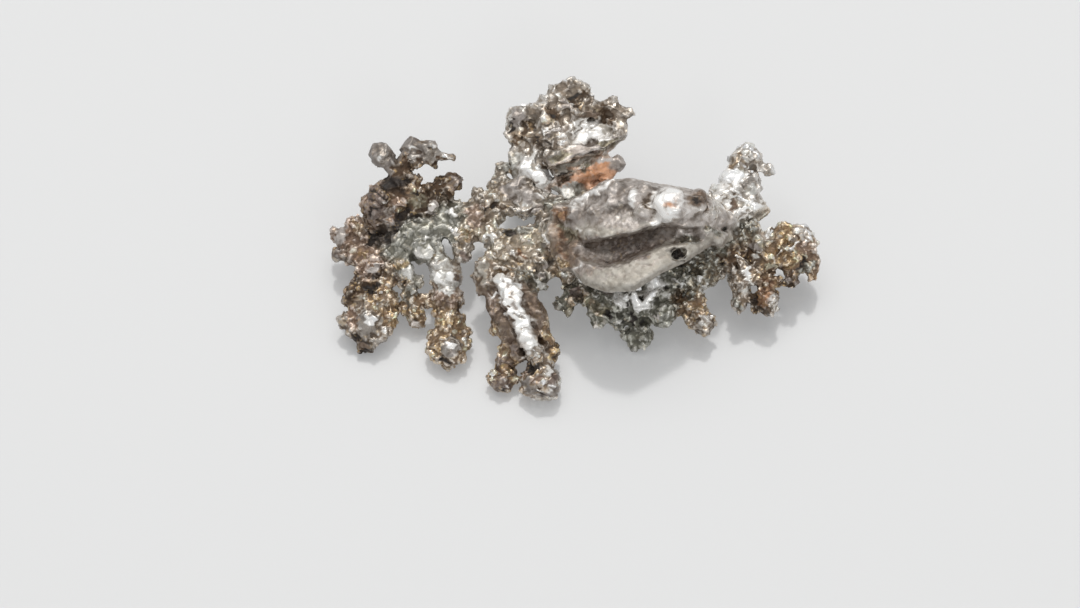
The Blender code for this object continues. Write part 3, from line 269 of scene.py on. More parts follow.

# Smaller marks on each branch, laid on in this order: the finish, the middle (across, up) and the
# half sizes as they look from the front, and the turn.
# Many marks are painted light: the tiny white_silver_and_highlight and silver marks are painted highlights
# and glints, the dark ones painted shade
SPOTS = {
    "long_finger": (
        ("smooth_brown", -3.7, -0.3, 0.9, 1.7, 22), ("smooth_brown", -7.1, -1.4, 0.7, 1.9, 20),
        ("pinkish", -8.1, 0.2, 0.4, 1.3, 12), ("lilac_brown", -6.2, -4.6, 0.5, 0.9, 20),
        ("gold_brown", -7.9, -3.3, 0.45, 1.3, 8), ("gold_brown", -2.4, -2.9, 0.7, 1.3, 20),
        ("gold", -2.0, -5.0, 0.45, 0.8, 10), ("gold_brown", -7.0, -5.9, 0.8, 0.6, 0),
        ("lilac_brown", -7.0, -6.4, 1.1, 1.2, 0), ("lilac_brown", -7.1, -8.0, 1.1, 0.7, 0),
        ("gold_brown", -7.0, -6.6, 0.6, 0.7, 0), ("brown", -6.4, -6.3, 0.2, 0.5, 0),
        ("brown", -7.7, -6.9, 0.2, 0.3, 0), ("silver", -6.7, -7.6, 0.2, 0.15, 0),
        ("gold", -7.2, -6.1, 0.3, 0.2, 0), ("white_silver_and_highlight", -6.6, -8.1, 0.12, 0.12, 0),
        ("dark_shade_and_tarnish", -7.1, -8.6, 0.3, 0.2, 0), ("beige", -9.2, 3.4, 0.7, 1.1, 0),
        ("gold_brown", -6.6, 3.4, 0.9, 0.4, -20), ("pale_green_and_floor_reflection", -4.4, 3.4, 1.1, 0.8, 0),
        ("white_silver_and_highlight", -7.25, 2.4, 0.3, 0.5, 30), ("white_silver_and_highlight", -8.0, 1.1, 0.6, 0.13, 12),
        ("white_silver_and_highlight", -6.3, 1.4, 1.1, 0.65, -30), ("white_silver_and_highlight", -6.4, 0.3, 1.0, 0.7, -20),
        ("white_silver_and_highlight", -5.9, -0.9, 0.95, 0.75, -35), ("white_silver_and_highlight", -5.2, -1.9, 0.9, 0.65, -30),
        ("white_silver_and_highlight", -4.85, -3.1, 0.5, 0.6, -30), ("white_silver_and_highlight", -4.5, -4.2, 0.4, 0.45, 20),
        ("smooth_silver", -6.2, 1.0, 0.35, 0.2, -30), ("smooth_silver", -5.4, -1.3, 0.4, 0.2, -30),
        ("lilac_grey", -5.9, -0.2, 0.2, 0.5, 20), ("lilac_grey", -6.9, 1.9, 0.2, 0.4, 30),
        ("silver", -4.0, -5.1, 0.7, 0.4, 0), ("smooth_brown", -6.25, 0.6, 0.3, 0.12, -30),
        ("brown", -5.25, 0.4, 0.13, 0.2, 0), ("brown", -5.0, -2.5, 0.2, 0.1, 0),
        ("brown", -6.5, -0.4, 0.2, 0.1, 20), ("warm_grey", -3.2, -7.7, 2.0, 1.8, 0),
        # The end knob: dull_grey_and_rim_shade marks are painted shade at its rim and foot, its small white
        # marks painted highlights
        ("pinkish", -3.8, -7.6, 0.8, 0.5, 10), ("dull_grey_and_rim_shade", -2.9, -9.0, 1.5, 0.5, 5),
        ("dull_grey_and_rim_shade", -4.6, -8.2, 0.4, 0.9, 0), ("brown", -3.6, -8.3, 0.3, 0.12, 20),
        ("lilac_brown", -1.9, -7.4, 0.5, 0.9, 0), ("white_silver_and_highlight", -2.7, -6.9, 0.25, 0.5, 20),
        ("white_silver_and_highlight", -3.4, -8.65, 0.5, 0.14, 10), ("white_silver_and_highlight", -2.1, -8.3, 0.35, 0.18, 20),
        ("dark_shade_and_tarnish", -3.3, -9.2, 0.3, 0.16, 0), ("dark_shade_and_tarnish", -2.6, -9.1, 0.2, 0.12, 0),
        ("dark_shade_and_tarnish", -4.4, -6.3, 1.1, 0.38, 14), ("gold_brown", -4.0, -6.75, 0.55, 0.22, 14),
    ),
    "crown": (
        ("warm_grey", -0.3, 21.6, 1.8, 0.9, 0), ("warm_grey", -2.5, 15.2, 1.3, 0.7, 10),
        ("smooth_grey", -5.5, 18.6, 0.9, 0.9, 0), ("warm_grey", -3.6, 19.2, 1.2, 0.8, 0),
        ("smooth_grey", 1.1, 15.5, 4.2, 0.55, 18), ("beige", -0.1, 13.9, 2.4, 0.32, 25),
        ("white_silver_and_highlight", 0.8, 17.3, 0.9, 1.2, 10), ("white_silver_and_highlight", 2.3, 16.9, 1.4, 0.7, -12),
        ("beige", 3.1, 17.7, 0.8, 0.3, -40), ("silver", -0.2, 17.5, 0.22, 0.7, -10),
        ("warm_grey", 0.35, 17.2, 0.06, 0.9, -25), ("beige", 1.6, 17.2, 0.9, 0.05, -8),
        ("smooth_brown", 1.4, 18.9, 1.1, 0.25, 3), ("brown", 3.3, 18.4, 0.8, 0.45, -15),
        ("brown", 2.9, 19.5, 0.45, 0.5, 0), ("dark_shade_and_tarnish", 0.1, 20.9, 0.9, 0.3, -15),
        ("brown", 0.6, 20.3, 0.7, 0.9, 0), ("gold", 0.9, 20.0, 0.2, 0.3, 0),
        ("smooth_grey", -0.6, 20.0, 0.75, 0.42, -50), ("white_silver_and_highlight", -0.2, 20.3, 0.5, 0.08, -50),
        ("brown", -2.2, 19.1, 0.7, 0.8, 0), ("gold_brown", -2.5, 18.2, 0.6, 0.4, 0),
        ("dark_shade_and_tarnish", -2.2, 18.9, 0.35, 0.25, 0), ("brown", -4.6, 17.7, 0.6, 0.9, -20),
        ("gold", -4.4, 17.9, 0.2, 0.3, 0), ("dark_shade_and_tarnish", -6.3, 17.7, 0.3, 0.7, 0),
        ("brown", -5.7, 16.5, 0.5, 0.5, 0), ("lilac_light", -1.9, 17.3, 0.9, 0.25, 25),
        ("white_silver_and_highlight", -3.1, 17.4, 0.4, 0.18, -10), ("white_silver_and_highlight", -1.3, 16.75, 0.45, 0.15, 25),
        ("dark_shade_and_tarnish", -3.7, 16.9, 0.28, 0.25, 0), ("dark_shade_and_tarnish", -3.45, 16.1, 0.35, 0.2, -20),
        ("dark_shade_and_tarnish", -2.2, 16.3, 0.5, 0.12, 10), ("silver", -0.9, 16.0, 0.4, 0.3, 0),
        ("olive", -1.5, 14.7, 1.0, 0.4, 20), ("olive", 3.6, 16.2, 1.2, 0.25, 20),
        ("dark_shade_and_tarnish", 0.8, 14.95, 1.1, 0.1, 20), ("dark_shade_and_tarnish", -1.4, 12.9, 0.9, 0.2, 22),
        ("silver", -3.9, 13.9, 0.8, 0.7, 0), ("white_silver_and_highlight", -3.2, 12.8, 0.7, 1.2, 15),
        ("white_silver_and_highlight", -4.4, 13.5, 0.4, 0.4, 0), ("smooth_grey", -3.9, 12.4, 0.3, 0.22, 0),
        ("pale_silver", -5.6, 14.7, 0.45, 0.7, -15), ("gold_brown", -6.7, 13.9, 0.5, 0.6, 0),
    ),
    "tongue": (
        ("olive", 1.3, 13.8, 0.8, 0.3, 20), ("copper", 0.7, 12.6, 1.3, 0.6, 10),
        ("copper", 2.6, 13.4, 1.0, 0.7, 25), ("white_silver_and_highlight", 1.2, 13.8, 0.12, 0.1, 0),
        ("white_silver_and_highlight", 1.5, 13.7, 0.1, 0.1, 0), ("lilac_light", 3.2, 14.3, 1.0, 0.3, 5),
        ("smooth_grey", 4.5, 14.1, 0.6, 0.5, -15), ("pale_silver", -0.8, 11.4, 1.4, 0.6, 12),
        ("brown", -1.2, 12.4, 0.8, 0.3, 20),
    ),
    "centre_trunk": (
        ("smooth_grey", -6.0, 11.5, 1.1, 1.0, 0), ("lilac_grey", -5.9, 11.2, 0.45, 0.4, 0),
        ("lilac_grey", -4.5, 10.6, 0.9, 0.8, 0), ("smooth_grey", -3.7, 9.2, 0.7, 0.35, 10),
        ("brown", -7.6, 9.5, 1.4, 0.2, 6), ("dark_shade_and_tarnish", -8.5, 9.3, 0.5, 0.15, 20),
        ("dark_shade_and_tarnish", -6.6, 7.25, 0.7, 0.3, 0), ("white_silver_and_highlight", -7.3, 7.6, 0.28, 0.14, -30),
        ("pinkish", -9.9, 9.1, 0.8, 1.3, 0), ("pale_green_and_floor_reflection", -4.6, 7.7, 1.2, 0.35, 5),
        ("white_silver_and_highlight", -2.9, 6.5, 0.4, 0.5, 0), ("dark_shade_and_tarnish", -2.3, 5.45, 0.3, 0.14, 0),
        ("smooth_grey", -1.9, 5.2, 0.4, 0.35, 0), ("rust", -5.2, 5.3, 0.3, 0.45, 0),
        ("dark_shade_and_tarnish", -4.5, 5.3, 0.22, 0.1, 0), ("smooth_grey", -3.1, 3.3, 0.5, 0.25, 0),
        ("pale_silver", -3.6, 2.1, 0.45, 0.5, 0), ("white_silver_and_highlight", -3.4, 10.8, 0.25, 0.25, 0),
        ("pale_green_and_floor_reflection", -2.0, 10.0, 1.0, 0.6, 0), ("gold_brown", -10.9, 6.6, 0.5, 0.9, 0),
        ("silver", -8.6, 6.4, 0.8, 0.5, 0), ("white_silver_and_highlight", -8.9, 6.1, 0.2, 0.12, 20),
        ("silver", -6.0, 5.2, 0.5, 0.5, 0), ("lilac_brown", -11.0, 4.4, 0.7, 0.5, 20),
    ),
    "blade": (
        ("lilac_grey", 3.6, 10.2, 4.4, 1.7, 12), ("dull_grey_and_rim_shade", 4.5, 9.5, 1.5, 0.55, 8),
        ("dull_grey_and_rim_shade", 1.4, 9.3, 0.9, 0.35, 10), ("dull_grey_and_rim_shade", 4.9, 11.8, 0.35, 0.8, 0),
        ("dull_grey_and_rim_shade", 8.0, 11.3, 0.9, 0.35, -5), ("silver", 3.8, 9.3, 0.2, 0.2, 0),
        ("silver", 4.8, 9.7, 0.2, 0.2, 0), ("silver", 4.3, 8.7, 0.25, 0.2, 0),
        ("silver", 3.3, 9.8, 0.15, 0.2, 0), ("silver", 5.4, 9.1, 0.2, 0.15, 0),
        ("white_silver_and_highlight", -0.2, 9.9, 0.2, 0.15, 0), ("white_silver_and_highlight", 0.8, 10.1, 0.2, 0.15, 0),
        ("lilac_grey", 5.6, 8.1, 2.9, 0.55, 13), ("lilac_light", 6.2, 8.5, 1.6, 0.25, 13),
        ("beige", 2.8, 7.35, 1.2, 0.3, 5), ("groove_light", 1.3, 4.8, 1.6, 1.9, 0),
        ("groove_light", 10.4, 7.0, 2.6, 0.9, 5), ("groove_dark", 6.6, 6.8, 2.7, 0.6, 9),
        ("groove_dark", 2.2, 6.5, 1.0, 0.3, 5), ("dull_grey_and_rim_shade", 3.4, 5.2, 0.5, 0.9, -20),
        ("lilac_grey", 2.0, 4.4, 0.6, 0.12, 40), ("lilac_grey", 1.7, 5.3, 0.5, 0.1, 50),
        ("groove_dark", 6.2, 4.7, 1.5, 0.45, 20), ("groove_dark", 3.2, 3.9, 1.0, 0.3, 8),
        ("lilac_grey", 9.7, 6.9, 2.0, 0.7, 5), ("lilac_light", 10.2, 7.1, 1.5, 0.45, 0),
        ("groove_light", 8.6, 6.4, 0.9, 0.3, 10), ("lilac_grey", 6.4, 6.15, 0.8, 0.18, 15),
        ("dull_grey_and_rim_shade", 7.2, 7.2, 0.8, 0.4, 8), ("groove_light", 2.7, 5.0, 0.3, 0.5, -20),
        ("lilac_grey", 1.0, 5.9, 0.5, 0.3, 10), ("lilac_grey", 0.4, 4.3, 0.35, 0.5, 0),
        ("beige", 5.4, 3.1, 2.5, 0.6, 22), ("beige", 1.9, 2.4, 1.8, 0.4, 4),
        ("beige", 8.3, 4.7, 1.2, 0.5, 25), ("smooth_grey", 3.5, 2.75, 1.2, 0.09, 8),
        ("groove_light", 7.6, 4.2, 0.7, 0.08, 20), ("smooth_grey", 12.2, 7.1, 1.0, 0.9, 0),
        ("beige", 9.3, 5.7, 0.5, 0.7, 0), ("beige", 11.1, 5.7, 0.8, 0.35, -10),
        ("beige", 11.5, 4.5, 0.4, 0.7, -25), ("beige", 10.6, 4.5, 1.2, 1.1, 30),
        ("dark_shade_and_tarnish", 10.44, 4.9, 0.62, 0.55, -30), ("green_grey", 11.2, 6.4, 1.2, 0.35, 0),
        ("green_grey", 13.9, 7.3, 0.9, 0.35, 0), ("beige", 14.2, 6.5, 1.2, 0.3, 8),
        ("lilac_grey", 10.7, 8.4, 1.6, 0.5, 5), ("lilac_light", 11.1, 9.8, 0.9, 1.3, 0),
        ("white_silver_and_highlight", 11.0, 10.1, 0.16, 0.8, 0), ("lilac_light", 13.4, 8.6, 0.6, 0.5, 0),
        ("lilac_light", 14.4, 8.2, 0.5, 0.5, 0), ("smooth_brown", 12.4, 10.3, 1.0, 0.95, -20),
        ("dark_shade_and_tarnish", 12.5, 10.1, 0.45, 0.35, -20), ("white_silver_and_highlight", 5.95, 10.8, 0.4, 1.1, 5),
        ("lilac_light", 6.7, 10.0, 0.4, 1.2, 10), ("brown", 7.4, 9.9, 0.42, 0.6, 0),
        ("white_silver_and_highlight", 9.2, 10.5, 1.5, 0.75, 25), ("white_silver_and_highlight", 8.6, 9.4, 0.9, 1.6, 5),
        ("white_silver_and_highlight", 9.0, 8.5, 0.8, 0.7, 0), ("copper", 9.8, 9.6, 0.5, 0.27, 0),
        ("brown", 9.15, 9.5, 0.2, 0.1, 0), ("dull_grey_and_rim_shade", 2.2, 11.0, 0.8, 0.5, 25),
        ("white_silver_and_highlight", 0.9, 10.7, 1.6, 0.22, 27), ("white_silver_and_highlight", 3.2, 11.9, 1.4, 0.22, 28),
        ("smooth_brown", -0.6, 6.6, 1.0, 2.8, 6), ("olive", -0.3, 7.6, 0.6, 0.9, 0),
        ("brown", -1.3, 8.1, 0.6, 0.35, 0), ("smooth_grey", -0.2, 8.4, 0.8, 0.9, 0),
        ("rust", -1.45, 9.15, 0.75, 0.9, 0), ("olive", -0.8, 7.1, 0.5, 0.9, 0),
        ("rust", -1.4, 6.6, 0.3, 0.7, 0), ("rust", -1.0, 5.1, 0.22, 0.5, 0),
        ("gold", -1.4, 4.0, 0.6, 0.5, 0), ("white_silver_and_highlight", 0.3, 3.75, 0.18, 0.18, 0),
        ("white_silver_and_highlight", 0.4, 7.5, 0.14, 0.14, 0), ("white_silver_and_highlight", -0.1, 9.75, 0.3, 0.14, 0),
    ),
    "low_cluster": (
        ("olive", 2.2, -0.3, 1.2, 0.8, 0), ("gold_brown", 1.6, 0.2, 0.5, 0.4, 0),
        ("lilac_brown", 0.1, 1.0, 0.6, 0.6, 0), ("olive", -0.4, -0.6, 0.5, 0.8, 0),
        ("gold_brown", -0.3, 0.3, 0.4, 0.5, 0), ("gold_brown", 2.6, -1.0, 0.4, 0.4, 0),
        ("smooth_grey", 3.6, 1.3, 0.9, 0.3, 0), ("green_grey", 9.2, -1.1, 1.0, 0.9, 0),
        ("pale_silver", 4.5, -1.8, 0.3, 0.35, 0), ("beige", 3.0, -2.0, 0.15, 0.5, 30),
        ("silver", 2.1, -2.3, 0.3, 0.3, 0), ("dark_shade_and_tarnish", 5.8, -1.4, 0.3, 0.5, 0),
        ("dark_shade_and_tarnish", 3.4, -0.9, 0.25, 0.4, 0), ("white_silver_and_highlight", 4.8, 0.4, 1.1, 0.36, 38),
        ("white_silver_and_highlight", 6.1, 0.2, 1.25, 0.42, -69), ("white_silver_and_highlight", 7.4, 0.5, 1.7, 0.46, 45),
        ("white_silver_and_highlight", 7.9, 1.9, 0.3, 0.6, -10), ("dark_shade_and_tarnish", 6.75, 1.0, 0.25, 0.25, 0),
        ("white_silver_and_highlight", 7.2, 1.5, 0.45, 0.25, 30), ("dark_shade_and_tarnish", 5.5, 0.2, 0.12, 0.6, -10),
        ("dark_shade_and_tarnish", 10.2, 1.8, 0.25, 0.25, 0), ("pale_silver", 9.3, 0.6, 0.6, 0.2, 0),
        ("white_silver_and_highlight", 10.4, 2.3, 0.4, 0.2, 20), ("dark_shade_and_tarnish", 7.6, 2.0, 0.15, 0.12, 0),
        # The widest dark_shade_and_tarnish mark on this line is a painted shadow, seen through the blade's
        # loop
        ("dark_shade_and_tarnish", 9.1, 1.4, 0.35, 0.2, 0), ("dark_shade_and_tarnish", 7.0, 1.2, 0.1, 0.15, 0), ("dark_shade_and_tarnish", 10.4, 5.0, 0.9, 0.8, 0),
        ("lilac_light", 8.2, -0.9, 0.4, 0.15, 20), ("pale_silver", 7.6, -0.8, 0.2, 0.2, 0),
        ("dark_shade_and_tarnish", 6.9, -2.1, 0.5, 0.15, 0),
    ),
    "right_finger": (
        ("green_grey", 11.3, 1.3, 0.9, 0.8, 0), ("gold_brown", 11.7, -0.3, 0.9, 0.9, 0),
        ("silver", 13.0, -1.5, 0.6, 0.7, 0), ("white_silver_and_highlight", 12.7, 2.4, 0.35, 0.45, -30),
        ("pale_silver", 12.9, 1.6, 0.4, 0.3, 0),
    ),
    "right_crest": (
        ("silver", 16.6, 10.6, 2.2, 2.0, 0), ("white_silver_and_highlight", 16.2, 12.0, 0.5, 0.5, 0),
        ("white_silver_and_highlight", 15.3, 10.3, 0.5, 0.4, 0), ("white_silver_and_highlight", 15.8, 12.8, 0.85, 0.65, -15),
        ("white_silver_and_highlight", 14.5, 10.8, 0.35, 0.45, 0), ("white_silver_and_highlight", 16.3, 11.2, 0.5, 0.28, 0),
        ("white_silver_and_highlight", 16.9, 9.3, 0.55, 0.35, 0), ("white_silver_and_highlight", 18.2, 9.6, 0.35, 0.3, 0),
        ("smooth_silver", 17.5, 12.2, 0.7, 0.5, -10), ("pale_silver", 18.0, 11.2, 0.6, 0.5, 0),
        ("white_silver_and_highlight", 15.2, 11.7, 0.5, 0.35, 0), ("white_silver_and_highlight", 17.4, 10.2, 0.5, 0.35, 0),
        ("white_silver_and_highlight", 16.9, 12.7, 0.3, 0.4, 0), ("pinkish", 15.9, 10.0, 0.3, 0.4, 0),
        ("gold_brown", 16.2, 14.3, 0.32, 0.7, 0), ("pale_silver", 17.2, 14.7, 0.4, 0.4, 0),
        ("lilac_light", 15.6, 8.5, 0.5, 0.7, 0), ("brown", 17.7, 13.6, 0.3, 0.1, 0),
        ("brown", 16.2, 10.6, 0.3, 0.08, 0), ("dark_shade_and_tarnish", 16.6, 9.4, 0.1, 0.1, 0),
    ),
    "right_end": (
        ("olive", 17.6, 6.9, 0.5, 0.35, 0), ("olive", 19.1, 6.3, 0.5, 0.3, 0),
        ("white_silver_and_highlight", 19.4, 7.4, 0.65, 0.18, 45), ("smooth_grey", 18.4, 5.6, 0.7, 0.6, 0),
        ("pale_silver", 18.2, 4.6, 0.8, 0.2, 20), ("gold", 21.1, 6.7, 0.7, 1.1, 10),
        ("gold", 21.3, 4.6, 0.6, 0.9, 0), ("pinkish", 23.2, 6.0, 0.8, 1.1, 0),
        ("green_grey", 23.5, 3.7, 0.7, 0.8, 0), ("lilac_brown", 21.8, 2.4, 0.5, 0.5, 0),
        ("olive", 19.5, 3.7, 0.7, 0.5, 0), ("brown", 22.3, 6.3, 0.15, 0.6, 0),
        ("pale_gold", 21.5, 5.8, 0.4, 0.4, 0), ("silver", 22.9, 6.6, 0.4, 0.3, 0),
        ("dark_shade_and_tarnish", 22.6, 3.9, 0.3, 0.25, 0), ("white_silver_and_highlight", 22.2, 5.5, 0.3, 0.12, 0),
    ),
    "right_claws": (
        ("warm_grey", 15.9, 2.6, 0.9, 1.1, 0), ("dark_shade_and_tarnish", 15.7, 2.9, 0.22, 0.12, 0),
        ("white_silver_and_highlight", 17.6, 2.9, 0.35, 0.8, 10), ("pale_silver", 17.3, 1.7, 0.3, 0.6, 10),
        ("green_grey", 16.4, -0.3, 0.4, 0.7, 0), ("brown", 15.3, 4.6, 0.9, 0.5, 0),
        ("silver", 16.6, 4.3, 0.5, 0.3, 0), ("rust", 19.0, 0.7, 0.9, 1.0, 0),
        ("rust", 19.3, 2.1, 0.5, 0.35, 0), ("silver", 20.1, -0.1, 0.4, 0.9, 0),
        ("dark_shade_and_tarnish", 18.3, 0.7, 0.25, 0.4, 0),
    ),
    "right_trunk": (
        # The first mark here is a painted shadow, seen through the blade's loop
        ("dark_shade_and_tarnish", 10.4, 5.0, 0.9, 0.8, 0), ("brown", 15.3, 4.7, 1.3, 0.6, 0),
        ("dark_shade_and_tarnish", 14.6, 4.3, 0.4, 0.2, 0), ("green_grey", 13.0, 4.6, 1.2, 0.8, 0),
    ),
    "left_crest": (
        ("lilac_brown", -19.8, 9.8, 1.1, 2.0, 0), ("dark_shade_and_tarnish", -19.7, 11.2, 0.8, 0.2, -12),
        ("dark_shade_and_tarnish", -20.0, 9.2, 0.85, 0.19, 0), ("dark_shade_and_tarnish", -20.3, 10.2, 0.45, 0.13, -8),
        ("brown", -19.0, 10.0, 0.3, 0.5, 10), ("brown", -19.4, 8.2, 0.4, 0.2, 0),
        ("pinkish", -17.6, 10.3, 0.7, 0.6, 0), ("pinkish", -18.3, 8.5, 0.35, 0.35, 0),
        ("white_silver_and_highlight", -18.9, 10.3, 0.35, 0.12, 10), ("silver", -18.2, 9.3, 0.15, 0.3, 0),
        ("gold_brown", -17.1, 9.1, 0.5, 0.4, 0), ("olive", -15.8, 10.6, 0.9, 0.9, 0),
        ("dark_shade_and_tarnish", -16.1, 8.5, 0.5, 0.25, 15), ("dark_shade_and_tarnish", -15.6, 11.2, 0.4, 0.25, 0),
        ("brown", -13.2, 12.3, 0.8, 0.5, 20), ("lilac_brown", -12.0, 12.3, 0.65, 0.9, 0),
        ("warm_grey", -12.7, 11.3, 0.35, 0.25, 0), ("warm_grey", -12.2, 12.0, 0.35, 0.5, 0),
        ("white_silver_and_highlight", -13.3, 12.0, 0.15, 0.15, 0), ("gold", -13.1, 12.6, 0.2, 0.25, 0),
        ("lilac_light", -14.1, 9.6, 0.45, 0.55, 0), ("brown", -18.1, 13.5, 0.9, 0.5, 0),
        # Each knob: a dull grey rim of painted shade, a smooth_silver middle painted as its lit side, and a
        # painted white highlight
        ("dark_shade_and_tarnish", -17.8, 12.3, 1.0, 0.4, -8), ("dull_grey_and_rim_shade", -19.2, 14.6, 1.5, 1.5, 0),
        ("smooth_silver", -19.1, 14.9, 0.8, 0.85, 0), ("white_silver_and_highlight", -19.4, 14.7, 0.22, 0.22, 0),
        ("dull_grey_and_rim_shade", -16.1, 15.5, 1.2, 1.2, 0), ("smooth_silver", -16.1, 14.7, 0.65, 0.5, 0),
        ("brown", -16.9, 14.4, 0.3, 0.8, 10), ("white_silver_and_highlight", -16.2, 15.5, 0.5, 0.1, 10),
        ("smooth_silver", -14.4, 15.2, 0.8, 0.8, 0), ("dark_shade_and_tarnish", -14.4, 15.6, 0.32, 0.25, 0),
        ("white_silver_and_highlight", -14.0, 15.75, 0.18, 0.25, 0), ("gold", -14.9, 13.5, 0.4, 0.4, 0),
        ("silver", -12.8, 14.6, 0.8, 0.4, -10), ("brown", -13.6, 14.2, 0.3, 0.3, 0),
    ),
    "left_trunk": (
        ("pale_green_and_floor_reflection", -13.8, 5.4, 0.9, 0.9, 0), ("white_silver_and_highlight", -12.1, 9.0, 0.45, 0.5, 0),
        ("silver", -11.9, 7.0, 0.5, 0.5, 0), ("green_grey", -16.8, 7.3, 0.8, 0.3, 10),
        ("green_grey", -14.6, 7.9, 0.6, 0.4, 0), ("dark_shade_and_tarnish", -15.5, 8.2, 0.3, 0.12, 0),
        ("pale_silver", -14.6, 4.9, 1.2, 0.9, 0), ("pale_silver", -16.2, 3.4, 0.6, 0.8, 0),
        ("gold", -17.6, 4.0, 0.9, 0.35, 10), ("silver", -18.3, 2.7, 0.5, 0.5, 0),
        ("white_silver_and_highlight", -14.9, 6.4, 0.3, 0.12, 30), ("white_silver_and_highlight", -16.1, 6.1, 0.25, 0.1, -20),
    ),
    "left_tip": (
        ("pinkish", -20.4, 4.5, 1.5, 1.1, 0), ("lilac_light", -19.9, 3.5, 0.6, 0.4, 0),
        ("gold_brown", -21.7, 7.8, 0.6, 0.8, 0), ("lilac_grey", -23.4, 6.8, 0.7, 0.8, 0),
        ("lilac_brown", -23.7, 5.0, 0.6, 0.5, 0), ("dark_shade_and_tarnish", -20.0, 6.8, 0.6, 1.0, -35),
        ("gold", -21.0, 5.2, 0.5, 0.3, 30), ("brown", -22.6, 5.4, 0.3, 0.2, 0),
    ),
    "left_foot": (
        ("dark_shade_and_tarnish", -20.6, 1.9, 0.9, 0.5, 0), ("gold_brown", -18.8, 0.8, 0.8, 0.8, 0),
        ("pinkish", -22.2, -1.3, 0.7, 1.3, 0), ("pale_gold", -21.0, 0.5, 0.5, 0.5, 0),
        ("smooth_silver", -20.4, -1.9, 1.3, 1.3, 0), ("white_silver_and_highlight", -20.5, -1.5, 0.6, 0.7, 20),
        ("smooth_brown", -21.3, -4.3, 0.7, 0.5, 0), ("brown", -21.4, -4.8, 0.3, 0.15, 0),
        ("brown", -21.9, 0.7, 0.4, 0.4, 0), ("gold", -17.9, -1.8, 0.3, 0.7, 0),
        ("silver", -18.9, -2.9, 0.4, 0.5, 0), ("dark_shade_and_tarnish", -21.4, -3.3, 0.2, 0.2, 0),
        ("pale_gold", -19.0, 0.2, 0.5, 0.4, 0), ("warm_grey", -21.7, -0.4, 0.5, 0.4, 0),
        ("silver", -19.4, -2.2, 0.3, 0.4, 0), ("silver", -20.9, 0.3, 0.3, 0.2, 0),
    ),
    "small_finger": (
        ("pale_green_and_floor_reflection", -16.4, 0.3, 0.5, 1.0, 0), ("gold", -15.7, -0.9, 0.6, 0.7, 0),
        ("brown", -15.0, -0.3, 0.15, 0.8, 0), ("pale_gold", -16.1, -0.2, 0.4, 0.8, 0),
        ("lilac_light", -15.7, -2.1, 0.6, 0.35, 0), ("dark_shade_and_tarnish", -15.9, -1.6, 0.3, 0.1, 0),
    ),
    "left_finger": (
        ("pale_silver", -13.0, 2.8, 1.4, 2.0, 0), ("pinkish", -12.8, 0.5, 1.2, 0.7, 0),
        ("white_silver_and_highlight", -13.5, 2.8, 0.35, 0.65, -20), ("white_silver_and_highlight", -12.2, 2.8, 0.55, 0.3, -40),
        ("white_silver_and_highlight", -13.0, 1.5, 0.3, 0.4, 0), ("lilac_brown", -11.4, 2.6, 0.4, 0.9, 0),
        ("gold", -12.6, -1.5, 1.1, 0.8, 0), ("pale_gold", -12.4, -1.2, 0.4, 0.4, 0),
        ("gold_brown", -14.1, -4.2, 0.6, 1.1, 0), ("gold_brown", -10.6, -3.9, 0.5, 1.1, 0),
        ("smooth_silver", -12.5, -4.2, 1.1, 1.0, 0), ("white_silver_and_highlight", -12.6, -4.1, 0.5, 0.38, -15),
        ("smooth_grey", -12.3, -4.95, 0.55, 0.25, 0), ("dark_shade_and_tarnish", -12.9, -5.8, 0.4, 0.25, 0),
        ("brown", -11.4, -0.6, 0.25, 0.5, 0),
    ),
}
SPOT_FADE = (3, 0.1)  # a mark fades where the skin turns away from the front: how fast, and from where


def as_seen(points):
    """Each point's across and up, as they look from the front."""
    away = points - np.array(LAYOUT_SHIFT)
    up = away[:, 1] * math.sin(VIEW_TILT) + away[:, 2] * math.cos(VIEW_TILT)
    nearer = EYE / (EYE - away @ np.array(TOWARD_EYE))
    return (away[:, 0] - EYE_ACROSS) * nearer + EYE_ACROSS, up * nearer


def fields_of(points, normals, name):
    """The tints at these points, with the branch's marks laid over them where they face the front."""
    border = LOOKS[name]["border"]
    gain, start = SPOT_FADE
    fields = tinted(points)
    across, up = as_seen(wavy(points))
    facing = np.clip((normals @ np.array(TOWARD_EYE)) * gain - start, 0, 1)
    for finish, middle, height, half_width, half_height, turn in SPOTS.get(name, ()):
        spin = math.radians(turn)
        x = (across - middle) * math.cos(spin) + (up - height) * math.sin(spin)
        y = (up - height) * math.cos(spin) - (across - middle) * math.sin(spin)
        inside = (1 - np.hypot(x / half_width, y / half_height)) * min(half_width, half_height)
        share = (np.clip(inside / border + 0.5, 0, 1) * facing)[:, None]
        fields = fields + share * (np.array(values_of(finish)) - fields)
    return fields


# ---------------------------------------------------------------- shapes

